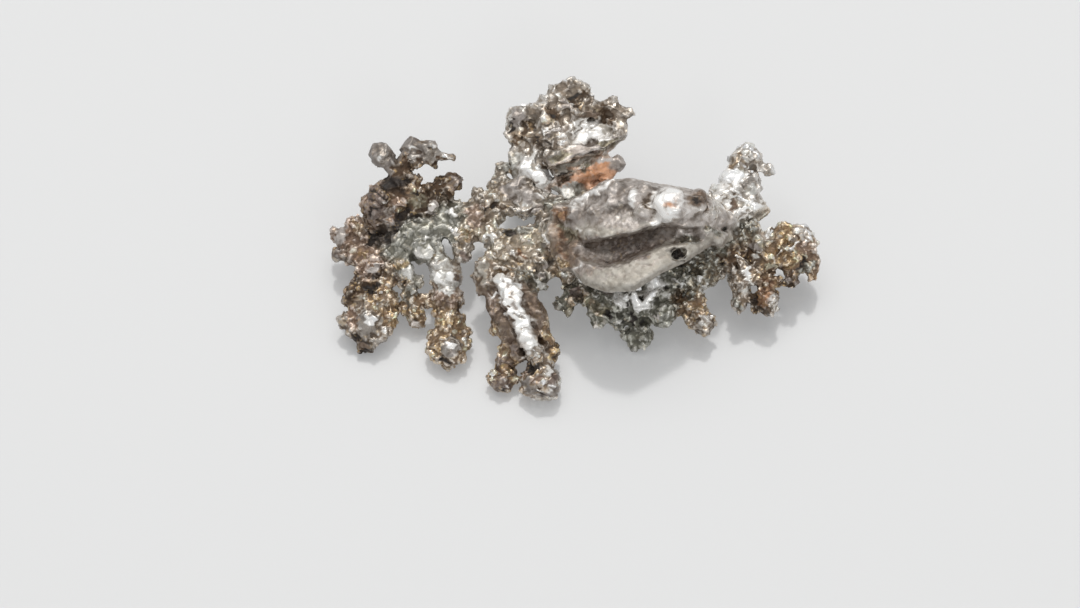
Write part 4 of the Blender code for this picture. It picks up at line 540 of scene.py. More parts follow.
# Flat crystals: (across, up, height) of the middle, (width, depth, thickness), the turn about the
# vertical and the tilt towards the layout's viewer and to the right.
PLATES = {
    "long_finger": (
        ((-6.9, 1.9, 6.4), (1.7, 1.3, 0.8), 20, 10, -8), ((-6.2, 1.0, 6.3), (2.1, 1.4, 0.8), 35, 14, 6),
        ((-6.1, 0.0, 6.0), (2.0, 1.4, 0.9), 18, 10, -6), ((-5.7, -1.0, 5.6), (1.9, 1.4, 0.8), 28, 16, 8),
        ((-5.1, -2.0, 5.3), (1.7, 1.3, 0.8), 15, 8, -6), ((-4.8, -3.1, 4.9), (1.2, 1.2, 0.7), 30, 16, 5),
        ((-4.4, -4.2, 4.4), (1.1, 1.1, 0.7), 22, 20, 0),
    ),
    "crown": (
        ((0.8, 17.2, 9.2), (2.2, 2.6, 0.5), 20, 12, -6), ((2.6, 17.2, 9.3), (2.8, 1.5, 0.5), 22, 18, 8),
        ((-4.0, 13.7, 8.6), (1.6, 1.9, 0.6), -25, 15, 8), ((-3.4, 12.5, 8.2), (1.4, 1.5, 0.6), 15, 22, -8),
        ((-0.6, 20.0, 10.7), (1.5, 0.9, 0.4), -50, 26, 10), ((-1.9, 17.3, 10.6), (1.8, 0.7, 0.4), 25, 24, 0),
        ((-5.6, 14.7, 8.2), (0.9, 1.5, 0.5), -15, 22, -14),
    ),
    "blade": (
        ((0.9, 10.7, 10.8), (3.0, 0.5, 0.5), 27, 40, 0), ((3.2, 11.9, 11.8), (2.6, 0.5, 0.5), 28, 40, 0),
    ),
    "centre_trunk": (
        ((-2.9, 6.5, 7.0), (0.9, 1.1, 0.5), 10, 14, 5), ((-3.7, 9.2, 7.3), (1.4, 0.8, 0.4), 10, 22, 8),
    ),
    "low_cluster": (
        ((4.8, 0.4, 5.3), (2.0, 0.7, 0.4), 38, 38, 6), ((6.1, 0.2, 5.4), (2.3, 0.8, 0.4), -69, 42, 4),
        ((7.4, 0.5, 5.5), (3.2, 0.9, 0.4), 45, 42, 4), ((8.0, 2.0, 5.7), (0.8, 1.4, 0.4), -8, 38, 8),
        ((10.4, 2.3, 5.2), (0.9, 0.8, 0.4), 10, 40, 4), ((9.3, 0.8, 4.7), (1.2, 0.9, 0.4), 20, 40, 6),
    ),
    "right_finger": (((12.7, 2.4, 5.3), (0.8, 1.0, 0.4), -25, 16, 8),),
    "right_crest": (
        ((15.8, 12.8, 9.2), (1.9, 1.8, 0.6), -20, 42, 5), ((14.6, 10.9, 9.0), (1.0, 1.2, 0.5), -15, 38, 8),
        ((16.3, 11.2, 9.0), (1.3, 1.2, 0.5), 10, 42, 8), ((16.9, 9.3, 8.2), (1.4, 1.2, 0.5), 0, 40, 4),
        ((17.5, 12.2, 9.0), (1.4, 1.1, 0.5), -12, 24, 14), ((18.0, 11.2, 8.6), (1.2, 1.0, 0.5), 6, 20, 12),
    ),
    "right_end": (
        ((19.4, 7.4, 6.3), (1.4, 0.5, 0.4), 45, 16, 4), ((18.4, 5.6, 6.0), (1.4, 1.2, 0.4), 10, 26, -10),
    ),
    "right_claws": (((17.6, 2.8, 5.0), (0.8, 1.9, 0.5), 8, 20, 14),),
    "left_finger": (
        ((-13.4, 2.7, 5.4), (1.0, 1.8, 0.5), -20, 22, -10),
        ((-12.3, 2.8, 5.5), (1.4, 1.0, 0.5), -40, 18, 12),
    ),
    "left_crest": (((-14.1, 9.6, 7.2), (1.0, 1.2, 0.4), 5, 24, 6),),
    "left_trunk": (((-12.1, 9.0, 6.6), (1.0, 1.1, 0.5), 25, 14, 6),),
}

# Holes through a branch, seen from the front: (across, up, height), the half sizes and the turn.
WEDGE = ((-12.55, 5.5, 6.0), (0.45, 1.2), 21)  # between the left finger and the trunk's lobe
LOOP = ((10.3, 4.95, 11.5), (0.82, 0.52), 24)  # near the right end of the blade's lower lip
GAPS = {"left_finger": WEDGE, "left_trunk": WEDGE, "centre_trunk": WEDGE, "blade": LOOP}

# Round knobs, and lumps that fill gaps: (across, up, height, radius).
KNOBS = {
    "left_foot": (
        (-20.5, -1.9, 2.6, 1.4), (-21.9, 0.9, 3.0, 1.2), (-18.7, 0.4, 3.0, 1.2), (-22.4, -1.6, 2.2, 0.9),
        (-21.3, -4.3, 1.0, 0.5), (-19.3, -2.9, 1.8, 1.0), (-21.9, -2.7, 1.7, 0.9), (-22.6, 0.2, 2.8, 0.6),
    ),
    "long_finger": ((-3.4, -7.4, 2.4, 1.3), (-2.6, -8.6, 1.6, 1.2), (-4.1, -8.4, 1.6, 1.0)),
    "left_finger": (
        (-12.4, -4.5, 2.2, 1.2), (-11.2, -4.0, 1.9, 0.9), (-13.8, -4.4, 1.7, 0.9), (-13.5, -5.2, 1.5, 0.85),
        (-11.4, -5.1, 1.5, 0.85), (-12.5, -5.6, 1.3, 0.75), (-14.0, -3.2, 1.9, 0.7), (-10.8, -2.8, 1.9, 0.7),
    ),
    "small_finger": ((-15.9, -0.6, 2.1, 1.15),),
    "left_crest": (
        (-19.2, 14.8, 8.5, 1.25), (-16.1, 15.5, 8.9, 1.0), (-14.5, 15.2, 9.2, 0.85), (-12.0, 12.3, 7.2, 0.9),
        (-12.6, 14.6, 9.0, 0.5), (-19.8, 9.8, 6.9, 1.6), (-16.1, 9.2, 6.2, 0.9), (-17.4, 13.0, 8.0, 1.1),
        (-18.6, 11.6, 7.6, 1.1),
    ),
    "left_tip": (
        (-20.1, 4.2, 4.0, 1.1), (-21.7, 5.2, 3.8, 1.0), (-19.4, 6.4, 4.4, 0.8), (-23.2, 6.6, 3.7, 0.9),
        (-21.7, 7.4, 4.0, 0.9), (-23.5, 5.0, 3.5, 0.7),
    ),
    "centre_trunk": (
        (-6.0, 11.5, 7.0, 1.15), (-4.6, 10.7, 6.9, 1.1), (-7.3, 12.1, 6.9, 0.7), (-9.1, 9.7, 6.2, 0.8),
        (-11.0, 5.0, 4.8, 0.8), (-7.5, 8.5, 5.8, 0.75), (-6.4, 9.1, 6.0, 0.45), (-5.4, 9.1, 6.1, 0.4),
        (-6.2, 7.2, 5.6, 0.45), (-7.1, 12.4, 7.0, 0.7), (-5.0, 7.4, 5.7, 0.4),
    ),
    "crown": (
        (0.1, 20.5, 9.7, 1.15), (-2.1, 20.1, 9.6, 0.9), (-2.9, 14.2, 8.2, 0.8), (5.3, 19.1, 10.2, 0.5),
        (-5.9, 17.6, 9.0, 1.0), (2.6, 19.2, 9.9, 0.95),
    ),
    "blade": (
        (11.1, 9.6, 12.6, 1.2), (13.4, 8.6, 10.4, 0.9), (-1.4, 9.1, 8.8, 1.0), (14.5, 8.2, 9.2, 0.75),
        (12.4, 7.3, 10.2, 0.9), (13.2, 6.6, 9.7, 0.7), (11.7, 8.1, 11.2, 0.7), (7.0, 11.1, 12.6, 0.9),
        (12.3, 10.6, 11.9, 0.9), (11.3, 6.8, 10.6, 0.6), (10.4, 7.2, 10.6, 0.5),
    ),
    "right_crest": (
        (17.2, 14.8, 8.8, 1.05), (19.0, 13.5, 8.5, 0.55), (15.6, 12.2, 8.3, 1.3), (17.7, 9.9, 7.4, 1.2),
    ),
    "right_end": (
        (23.0, 6.2, 4.9, 1.25), (23.4, 3.8, 3.9, 0.85), (21.8, 2.9, 3.9, 0.8), (20.2, 5.4, 4.8, 1.1),
        (19.4, 4.4, 4.6, 1.0),
    ),
    "right_claws": ((16.5, 1.4, 3.9, 0.95), (19.2, 0.4, 3.4, 1.3), (16.5, -0.2, 3.2, 0.55)),
    "low_cluster": (
        (-0.4, 0.4, 3.7, 0.85), (-0.6, -0.5, 3.4, 0.65), (2.2, -0.9, 3.4, 0.9), (3.9, -1.3, 3.2, 0.8),
        (8.8, -1.0, 3.6, 1.5), (5.1, -1.1, 3.2, 0.9), (2.9, -0.2, 3.8, 0.8), (4.6, -1.9, 2.9, 0.7),
        (2.6, -1.9, 3.0, 0.6),
    ),
    "right_finger": ((12.2, -1.1, 3.1, 1.3), (11.7, 0.8, 3.9, 1.1)),
    "tongue": ((4.4, 14.1, 7.9, 0.7),),
}

VOXEL = 0.11  # the fine skin's mesh size
FORK_REACH = 0.95  # a branch is joined to a neighbour that is nearer than this
FORK_SINK = 0.25  # how deep its skin goes into that neighbour
FORK_FACING = 0.35  # how squarely the skin faces the neighbour there, from 0 to 1
SKIN_GROWTH = 0.06  # how far a branch's fine skin lies outside its solid
WELD = 1e-6  # corners nearer than this are one, in metres

# Round lumps, and how the skin's grain, from 0 to 1, changes them.
LUMP_CHANCE = (0.03, 1.3)  # on smooth skin, and what full grain adds
LUMP_RANGE = (0.8, 1.75)  # their width
LUMP_SHRINK = (1.1, 0.25)  # times this on smooth skin, and what full grain takes off
LUMP_STRETCH_RANGE = (0.8, 1.15)
LUMP_SINK_RANGE = (0.24, 0.42)  # how deep the middle lies, in widths
BLOCK_CHANCE = 0.3  # for a block in place of a round lump, at full grain
BLOCK_SIZE = 0.75  # against the round lump

# The flat pieces that make up one flat crystal.
SHARDS = 3
SHARD_RANGE = (0.55, 0.75)  # the later ones' size, against the first
SHARD_SPREAD = 0.32  # how far off its middle they lie, in its widths and depths
SHARD_RISE = 0.05  # and how far above each other, in its thicknesses
SHARD_TILT = 4  # the spread of their tilts
SHARD_SIDES = (4, 7)  # at least the first, and fewer than the second
SHARD_RADII = (0.55, 0.5)  # at the foot and at the top

KNOB_STRETCH_RANGE = (0.92, 1.06)
KNOB_DETAIL = 3  # subdivisions of a ball
GAP_DEPTH = 9.0  # the length of the rod that cuts a hole
GAP_SIDES = 18
BATCH = 120  # small shapes made in one mesh before the next is started
CUBE_CORNERS = 8


def merged(name):
    """A CAD node's mesh with its triangles joined, in millimetres."""
    bm = bmesh.new()
    bm.from_mesh(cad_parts[name].data)
    bmesh.ops.remove_doubles(bm, verts=bm.verts, dist=WELD)
    bmesh.ops.scale(bm, vec=(1 / MM, 1 / MM, 1 / MM), verts=bm.verts)
    bm.normal_update()
    return bm


def joined_to_neighbours(bm, name, trees):
    """Pulls the skin beside a fork into the neighbouring branch, so that no gap is left."""
    moves = []
    for vert in bm.verts:
        nearest = None
        for other, tree in trees.items():
            if other == name:
                continue
            hit, _, _, distance = tree.find_nearest(vert.co, FORK_REACH)
            if hit and (nearest is None or distance < nearest[1]):
                nearest = (hit, distance)
        toward = (nearest[0] - vert.co).normalized() if nearest else vert.normal
        if nearest and toward.dot(vert.normal) > FORK_FACING:
            moves.append((vert, toward * (nearest[1] + FORK_SINK)))
        else:
            moves.append((vert, vert.normal * SKIN_GROWTH))
    for vert, move in moves:
        vert.co += move


def turned(rng):
    """A random rotation."""
    axis = Vector(rng.normal(size=3)).normalized()
    return Matrix.Rotation(rng.uniform(0, math.pi), 4, axis)


def stretched(rng, size, stretch_range):
    """A scaling to about this size, a little different along each axis."""
    return Matrix.Diagonal((*(size * rng.uniform(*stretch_range, 3)), 1))


class Shells:
    """Many small closed shapes, made in batches so that each batch's mesh stays small."""

    def __init__(self):
        self.meshes = []
        self.batch = bmesh.new()
        self.made = 0

    def cube(self, matrix):
        bmesh.ops.create_cube(self.batch, size=1, matrix=matrix)
        self.count()

    def ball(self, matrix, subdivisions=1):
        bmesh.ops.create_icosphere(self.batch, subdivisions=subdivisions, radius=0.5, matrix=matrix)
        self.count()

    def prism(self, matrix, sides, radii):
        """A flat-ended shape with this many sides, one long, and these radii at its ends."""
        foot, top = radii
        bmesh.ops.create_cone(
            self.batch, cap_ends=True, segments=sides, radius1=foot, radius2=top, depth=1, matrix=matrix,
        )
        self.count()

    def count(self):
        self.made += 1
        if self.made % BATCH == 0:
            self.close()

    def close(self):
        """Turns the open batch into a mesh."""
        mesh = bpy.data.meshes.new("shells")
        self.batch.to_mesh(mesh)
        self.batch.free()
        self.meshes.append(mesh)
        self.batch = bmesh.new()


def joined(meshes):
    """One mesh of them all, which are removed."""
    whole = bmesh.new()
    for mesh in meshes:
        whole.from_mesh(mesh)
        bpy.data.meshes.remove(mesh)
    mesh = bpy.data.meshes.new("joined")
    whole.to_mesh(mesh)
    whole.free()
    return mesh


def in_scene(name, data):
    """A new object in the scene, at the origin."""
    made = bpy.data.objects.new(name, data)
    bpy.context.scene.collection.objects.link(made)
    return made


def lumps_on(bm, rng, density, name, shells):
    """Round lumps half sunk in the skin."""
    bmesh.ops.triangulate(bm, faces=bm.faces)
    faces = list(bm.faces)
    areas = np.array([face.calc_area() for face in faces])
    picks = rng.choice(len(faces), size=int(areas.sum() * density), p=areas / areas.sum())
    points = []
    for pick in picks:
        corners = [vert.co for vert in faces[pick].verts]
        u, v = sorted(rng.random(2))
        points.append(corners[0] * u + corners[1] * (v - u) + corners[2] * (1 - v))
    normals = np.array([faces[pick].normal for pick in picks])
    grains = fields_of(np.array(points, np.float32), normals, name)[:, GRAIN]
    for point, pick, grain in zip(points, picks, grains):
        if rng.random() > LUMP_CHANCE[0] + LUMP_CHANCE[1] * grain:
            continue
        width = rng.uniform(*LUMP_RANGE) * (LUMP_SHRINK[0] - LUMP_SHRINK[1] * grain)
        scale = stretched(rng, width, LUMP_STRETCH_RANGE)
        centre = point - faces[pick].normal * width * rng.uniform(*LUMP_SINK_RANGE)
        matrix = Matrix.Translation(centre) @ turned(rng) @ scale
        if rng.random() < BLOCK_CHANCE * grain:
            shells.cube(matrix @ Matrix.Scale(BLOCK_SIZE, 4))
        else:
            shells.ball(matrix)


def plates_of(name, shells, rng):
    """The flat crystals of a branch, each a few overlapping flat pieces."""
    for where, size, turn, nod, lean in PLATES.get(name, ()):
        for i in range(SHARDS):
            share = 1.0 if i == 0 else rng.uniform(*SHARD_RANGE)
            aside = rng.uniform(-SHARD_SPREAD, SHARD_SPREAD, 2) * size[:2] * (i > 0)
            off = Vector((*aside, SHARD_RISE * i * size[2]))
            tilt = Matrix.Rotation(math.radians(nod + SHARD_TILT * rng.normal() * i), 4, "X")
            tilt = tilt @ Matrix.Rotation(math.radians(lean + SHARD_TILT * rng.normal() * i), 4, "Y")
            spin = Matrix.Rotation(math.radians(turn), 4, "Z")
            scale = Matrix.Diagonal((size[0] * share, size[1] * share, size[2], 1))
            twist = Matrix.Rotation(rng.uniform(0, math.pi), 4, "Z")
            matrix = Matrix.Translation(place(*where)) @ tilt @ spin @ Matrix.Translation(off) @ scale
            shells.prism(matrix @ twist, int(rng.integers(*SHARD_SIDES)), SHARD_RADII)


def knobs_of(name, shells, rng):
    """The smooth round knobs of a branch."""
    for across, up, height, radius in KNOBS.get(name, ()):
        scale = stretched(rng, 2 * radius, KNOB_STRETCH_RANGE)
        shells.ball(Matrix.Translation(place(across, up, height)) @ turned(rng) @ scale, KNOB_DETAIL)


def rough_branch(name, density, trees, rng):
    """A branch's solid with its lumps, knobs and flat crystals, as one mesh of overlapping shells."""
    base = merged(name)
    joined_to_neighbours(base, name, trees)
    shells = Shells()
    lumps_on(base, rng, density, name, shells)
    knobs_of(name, shells, rng)
    plates_of(name, shells, rng)
    shells.close()
    body = bpy.data.meshes.new("body")
    base.to_mesh(body)
    base.free()
    return joined([body, *shells.meshes])


def cutter(where, half_sizes, turn):
    """A long oval rod through the branch, along the line of sight from the front."""
    shells = Shells()
    matrix = Matrix.Translation(place(*where)) @ Matrix.Rotation(math.pi / 2 - VIEW_TILT, 4, "X")
    matrix = matrix @ Matrix.Rotation(math.radians(turn), 4, "Z")
    shells.prism(matrix @ Matrix.Diagonal((*half_sizes, GAP_DEPTH, 1)), GAP_SIDES, (1, 1))
    shells.close()
    return in_scene("rod", shells.meshes[0])


def skinned(rough, name):
    """One fine skin round all the shells of a mesh, which is removed, with the branch's hole cut."""
    raw = in_scene("rough", rough)
    rod = cutter(*GAPS[name]) if name in GAPS else None
    for kind in ("REMESH", "BOOLEAN", "REMESH") if rod else ("REMESH",):
        step = raw.modifiers.new(kind, kind)
        if kind == "REMESH":
            step.mode = "VOXEL"
            step.voxel_size = VOXEL
        else:
            step.operation = "DIFFERENCE"
            step.object = rod
    seen = raw.evaluated_get(bpy.context.evaluated_depsgraph_get())
    fine = bpy.data.meshes.new_from_object(seen)
    bpy.data.objects.remove(raw)
    bpy.data.meshes.remove(rough)
    if rod:
        bpy.data.meshes.remove(rod.data)
    return fine


# ---------------------------------------------------------------- relief

KEPT = 0.4  # how much of its own value a vertex keeps in one round of smoothing
FEWEST_SEEDS = 8
SEED_STEP = 0.5  # how far outwards a facet's seeds lie, and its skin moves at most, in facet sizes
RIPPLE = (0.1, 7)  # ragged borders of small lumps: how far, in sizes, and how finely
CREASE_WIDTH = 0.55  # in lump sizes
CREASE_POWER = 1.5
CREST = 0.4  # how much of a lump's height lies above the skin
RELIEF_STEPS = ((6, 1.2), (24, 0.9), (80, 0.6))  # rounds of smoothing, and what each adds to the relief
RELIEF_UNIT = 0.22
CREASE_DEPTH = 1.0  # how much more tarnish and painted shade a crease gets than its depth alone would give it
LUMP_CONTRAST = 0.20  # how much lumps differ in painted light and shade, standing in for the light each catches, as the spread of its logarithm
CRYSTAL_CONTRAST = 0.38  # and small crystals, as painted sparkle
BRIGHTEST = 0.97  # the most that a colour reflects
SHAPE_SHARE = (0.12, 1.4)  # how far small shapes are raised on smooth skin, and what full grain adds
CLUMP_FINENESS = 0.9  # of the noise that gathers small crystals in clumps
CLUMP_CHANCE = (0.9, 0.35)  # a crystal's chance there: times the noise, and added to it
CRYSTAL_RANGE = (0.14, 0.34)  # its size
CRYSTAL_STRETCH_RANGE = (0.7, 1.2)
CRYSTAL_SINK = 0.06  # how deep its middle lies, in sizes
CRYSTAL_RELIEF = 0.4  # the relief that it is coloured with
EASE = 0.6  # how near to the sides of the solids' box the skin is eased inwards


def read(mesh, what):
    """A mesh's vertex places or normals as an array."""
    values = np.empty(len(mesh.vertices) * 3, np.float32)
    if what == "co":
        mesh.vertices.foreach_get("co", values)
    else:
        mesh.vertex_normals.foreach_get("vector", values)
    return values.reshape(-1, 3)


def write(mesh, places):
    """Moves a mesh's vertices to these places."""
    mesh.vertices.foreach_set("co", places.astype(np.float32).ravel())
    mesh.update()


def edge_ends(mesh):
    """The two vertices of each edge."""
    ends = np.empty(len(mesh.edges) * 2, np.int32)
    mesh.edges.foreach_get("vertices", ends)
    return ends.reshape(-1, 2)


def smoothed(values, ends, rounds):
    """Values averaged with their neighbours along the edges, a number of times."""
    count = np.bincount(ends.ravel(), minlength=len(values)).astype(float)[:, None]
    flat = values.reshape(len(values), -1).astype(float)
    for _ in range(rounds):
        total = np.zeros_like(flat)
        for column in range(flat.shape[1]):
            total[:, column] = np.bincount(ends[:, 0], flat[ends[:, 1], column], len(flat))
            total[:, column] += np.bincount(ends[:, 1], flat[ends[:, 0], column], len(flat))
        flat = KEPT * flat + (1 - KEPT) * total / np.maximum(count, 1)
    return flat.reshape(values.shape)


def seeded(keys, rng, size):
    """Random seeds about this far apart on the skin, and a tree that finds the one nearest to a key."""
    wanted = max(FEWEST_SEEDS, int(len(keys) * VOXEL ** 2 / size ** 2))
    seeds = rng.choice(len(keys), size=wanted, replace=False)
    tree = KDTree(len(seeds))
    for i, seed in enumerate(seeds):
        tree.insert(keys[seed], i)
    tree.balance()
    return seeds, tree


def faceted(places, normals, rng, size, strength, tilt):
    """Flattens the skin into small flat faces: each vertex moves towards its nearest seed's plane."""
    reach = size * SEED_STEP
    keys = places + normals * reach
    seeds, tree = seeded(keys, rng, size)
    cell = np.array([tree.find(key)[1] for key in keys])
    count = np.maximum(np.bincount(cell, minlength=len(seeds)), 1)[:, None]
    centre = np.stack([np.bincount(cell, places[:, i], len(seeds)) for i in range(3)], 1) / count
    plane = np.stack([np.bincount(cell, normals[:, i], len(seeds)) for i in range(3)], 1) / count
    plane += rng.normal(size=plane.shape) * tilt
    plane /= np.maximum(np.linalg.norm(plane, axis=1, keepdims=True), 1e-6)
    height = np.einsum("ij,ij->i", places - centre[cell], plane[cell])
    height = np.clip(height, -reach, reach)
    return places - plane[cell] * (height * strength)[:, None]


def lumpy(places, normals, rng, size, height):
    """Raises the skin into small rounded lumps: the new places, how deep in a crease each one is and how far
    its lump's colour is raised or lowered, as painted light and shade."""
    shift, fineness = RIPPLE
    seeds, tree = seeded(places, rng, size)
    ragged = places + shift * size * np.sin(places[:, [1, 2, 0]] * fineness / size)
    nearest = [tree.find_n(key, 2) for key in ragged]
    gap = np.array([second[2] - first[2] for first, second in nearest])
    crease = np.clip(1 - gap / (CREASE_WIDTH * size), 0, 1)
    painted_lump_light = rng.normal(size=len(seeds))[[first[1] for first, _ in nearest]]
    return places + normals * (height * (CREST - crease ** CREASE_POWER))[:, None], crease, painted_lump_light


def relief_of(places, normals, ends):
    """How far each vertex stands out of the skin round it, from about -1 in a hollow to 1 on a ridge."""
    relief = np.zeros(len(places))
    for rounds, weight in RELIEF_STEPS:
        away = smoothed(places, ends, rounds) - places
        relief -= weight * np.einsum("ij,ij->i", away, normals)
    return relief / RELIEF_UNIT


def crystals_on(places, normals, grains, rng, density):
    """Small sharp crystals, half sunk in the skin where its grain is coarse, and where each one grows."""
    gain, start = CLUMP_CHANCE
    shells = Shells()
    roots = []
    for pick in rng.choice(len(places), size=int(len(places) * VOXEL ** 2 * density)):
        point, normal = Vector(places[pick]), Vector(normals[pick])
        clump = noise.noise(point * CLUMP_FINENESS) * gain + start
        if rng.random() > grains[pick] * clump:
            continue
        size = rng.uniform(*CRYSTAL_RANGE)
        scale = stretched(rng, size, CRYSTAL_STRETCH_RANGE)
        shells.cube(Matrix.Translation(point - normal * size * CRYSTAL_SINK) @ turned(rng) @ scale)
        roots.append(pick)
    shells.close()
    return shells.meshes, np.array(roots, int)


def sculpted(skin, name, look, rng):
    """Shapes the skin's small lumps and facets: its places, normals, tints and relief."""
    ends = edge_ends(skin)
    places = smoothed(read(skin, "co"), ends, look["soften"])
    write(skin, places)
    normals = smoothed(read(skin, "normal"), ends, 2)
    fields = fields_of(places, normals, name)
    places = places + normals * smoothed(fields[:, RISE], ends, 2)[:, None]
    share = np.clip(SHAPE_SHARE[0] + SHAPE_SHARE[1] * fields[:, GRAIN], 0, 1)[:, None]
    creases = np.zeros(len(places))
    for size, height in look["ripples"]:
        raised, crease, painted_lump_light = lumpy(places, normals, rng, size, height)
        places = places + (raised - places) * share
        creases += crease ** 2 * share[:, 0]
        # Each lump painted as if it caught more or less light
        fields[:, COLOUR] *= np.exp(LUMP_CONTRAST * painted_lump_light[:, None] * share)
        write(skin, places)
        normals = smoothed(read(skin, "normal"), ends, 1)
    for size, strength, tilt in look["facets"]:
        flat = faceted(places, normals, rng, size, strength, tilt)
        places = places * (1 - share) + flat * share
        write(skin, places)
        normals = smoothed(read(skin, "normal"), ends, 2)
    return places, normals, fields, relief_of(places, normals, ends) - CREASE_DEPTH * creases


def inside_box(places):
    """The places eased into the solids' box, so that nothing sticks out of it."""
    low, high = np.array(cad_box) / MM
    side = EASE / 2
    eased = places.copy()
    for axis in range(3):
        room = high[axis] - places[:, axis]
        eased[:, axis] = high[axis] - (room + np.sqrt(room ** 2 + side ** 2)) / 2
        if axis < 2:
            room = eased[:, axis] - low[axis]
            eased[:, axis] = low[axis] + (room + np.sqrt(room ** 2 + side ** 2)) / 2
    return np.maximum(eased, low)


def add_values(mesh, name, values):
    """Stores one number for each vertex."""
    mesh.attributes.new(name, "FLOAT", "POINT").data.foreach_set("value", values.astype(np.float32))


def add_colours(mesh, name, colours):
    """Stores one colour for each vertex."""
    rows = np.concatenate([colours, np.ones((len(colours), 1))], 1).astype(np.float32)
    mesh.attributes.new(name, "FLOAT_COLOR", "POINT").data.foreach_set("color", rows.ravel())


def dressed(name, look, trees, seed):
    """A branch's fine skin and crystals, riding on the body in place of its CAD node."""
    rng = np.random.default_rng(seed)
    skin = skinned(rough_branch(name, look["lumps"], trees, rng), name)
    places, normals, fields, relief = sculpted(skin, name, look, rng)
    skin_faces = len(skin.polygons)
    crystals, roots = crystals_on(places, normals, fields[:, GRAIN], rng, look["crystals"])
    own = fields[roots]
    # Each crystal painted as if it caught more or less light: painted sparkle
    own[:, COLOUR] *= np.exp(CRYSTAL_CONTRAST * rng.normal(size=(len(roots), 1)))
    fields = np.concatenate([fields, np.repeat(own, CUBE_CORNERS, axis=0)])
    fields[:, COLOUR] = np.clip(fields[:, COLOUR], 0, BRIGHTEST)
    mesh = joined([skin, *crystals])
    mesh.name = f"{name}_skin"
    places = inside_box(read(mesh, "co"))
    write(mesh, places * MM)
    mesh.polygons.foreach_set("use_smooth", np.arange(len(mesh.polygons)) < skin_faces)
    add_values(mesh, "relief", np.append(relief, np.full(len(places) - len(relief), CRYSTAL_RELIEF)))
    add_values(mesh, "shine", fields[:, SHINE])
    add_values(mesh, "grain", fields[:, GRAIN])
    add_values(mesh, "metal", fields[:, METAL])
    add_colours(mesh, "tint", fields[:, COLOUR])
    piece = in_scene(f"{name}_skin", mesh)
    mesh.materials.clear()
    mesh.materials.append(MATERIALS[look["slot"]])
    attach(piece, "root")
    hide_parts(name)


# ---------------------------------------------------------------- materials


class Wire:
    """A shader socket that can be used in Python expressions."""

    def __init__(self, tree, socket):
        self.tree = tree
        self.socket = socket

    def node(self, kind, settings=None, **inputs):
        """Adds a node: its settings first, then the values or links of its sockets, and gives it back.
        An input is named after its socket, or i and the socket's number."""
        made = self.tree.nodes.new(kind)
        for name, value in (settings or {}).items():
            setattr(made, name, value)
        for name, value in inputs.items():
            key = int(name[1:]) if name[0] == "i" and name[1:].isdigit() else name.replace("_", " ")
            if isinstance(value, Wire):
                self.tree.links.new(value.socket, made.inputs[key])
            else:
                made.inputs[key].default_value = value
        return made

    def out(self, made, output=0):
        return Wire(self.tree, made.outputs[output])

    def computed(self, kind, operation, values):
        """What a node of this kind makes of the values."""
        inputs = {f"i{i}": value for i, value in enumerate(values)}
        return self.out(self.node(kind, {"operation": operation}, **inputs))

    def math(self, operation, *values):
        return self.computed("ShaderNodeMath", operation, values)

    def vector(self, operation, *others):
        return self.computed("ShaderNodeVectorMath", operation, (self, *others))

    def __add__(self, other):
        return self.math("ADD", self, other)

    def __sub__(self, other):
        return self.math("SUBTRACT", self, other)

    def __mul__(self, other):
        return self.math("MULTIPLY", self, other)

    def __radd__(self, other):
        return self.math("ADD", other, self)

    def __rsub__(self, other):
        return self.math("SUBTRACT", other, self)

    def __rmul__(self, other):
        return self.math("MULTIPLY", other, self)

    def clamped(self):
        return self.out(self.node("ShaderNodeClamp", None, Value=self))

    def step(self, low, high):
        """0 below low, 1 above high, and smooth between."""
        settings = {"interpolation_type": "SMOOTHSTEP"}
        return self.out(self.node("ShaderNodeMapRange", settings, Value=self, i1=low, i2=high))

    def scaled(self, amount):
        return self.out(self.node("ShaderNodeVectorMath", {"operation": "SCALE"}, i0=self, Scale=amount))

    def mixed(self, colour, share, blend="MIX"):
        """This colour mixed with another."""
        settings = {"data_type": "RGBA", "blend_type": blend}
        return self.out(self.node("ShaderNodeMix", settings, i0=share, i6=self, i7=colour), 2)

    def darkened(self, colour, share=1.0):
        """This colour multiplied by another."""
        return self.mixed((*colour, 1), share, "MULTIPLY")

    def part(self, index):
        """One channel of a colour."""
        return self.out(self.node("ShaderNodeSeparateColor", None, Color=self), index)

    def attribute(self, name, output="Fac"):
        """What is stored under this name for each vertex."""
        return self.out(self.node("ShaderNodeAttribute", {"attribute_name": name}), output)

    def noise(self, scale, detail=3.0, output=0):
        """Noise at this place, with this many waves a millimetre."""
        made = self.node("ShaderNodeTexNoise", None, Vector=self, Scale=scale, Detail=detail)
        return self.out(made, output)

    def cells(self, scale):
        """A random colour for each cell at this place, with this many cells a millimetre."""
        return self.out(self.node("ShaderNodeTexVoronoi", None, Vector=self, Scale=scale), "Color")


DULL = (0.72, 0.69, 0.66)  # what broad tarnish leaves of a colour
BLOTCH_AND_FACET_SHADE = (0.40, 0.36, 0.33)  # and what small dark blotches, and painted shade on whole facets, leave of it
PALE = (0.93, 0.90, 0.86)  # the light side of a lump
PALE_SHARE = 0.55  # how far a colour goes towards it, where the colour isn't a dark one
MIDDLE = 0.5  # of a noise or a random value

# The patterns' noises, as waves a millimetre and detail, and the facets that each millimetre holds.
PATCHES = (0.7, 4.0)
BLOTCHES = (1.6, 8.0)
FINE_GRAIN = (9.0, 4.0)
RAGGED = (1.4, 3.0)  # the borders of hollows and ridges
BENT = (2.2, 3.0)  # the borders of facets
SMALL_FACETS = 3.2
LARGE_FACETS = 1.4

# Where each pattern begins and where it is full.
PATCH_STEP = (0.32, 0.68)
PALE_STEP = (0.0, 0.2)  # along a colour's green
LIGHT_FACET_STEP = (0.6, 1.0)
DARK_FACET_STEP = (0.5, 1.0)
BLOTCH_STEP = (0.47, 0.62)
GLINT_STEP = 0.04  # how far apart the two are
HOLLOW_STEP = (0.0, 1.4)
RIDGE_STEP = (0.3, 1.4)

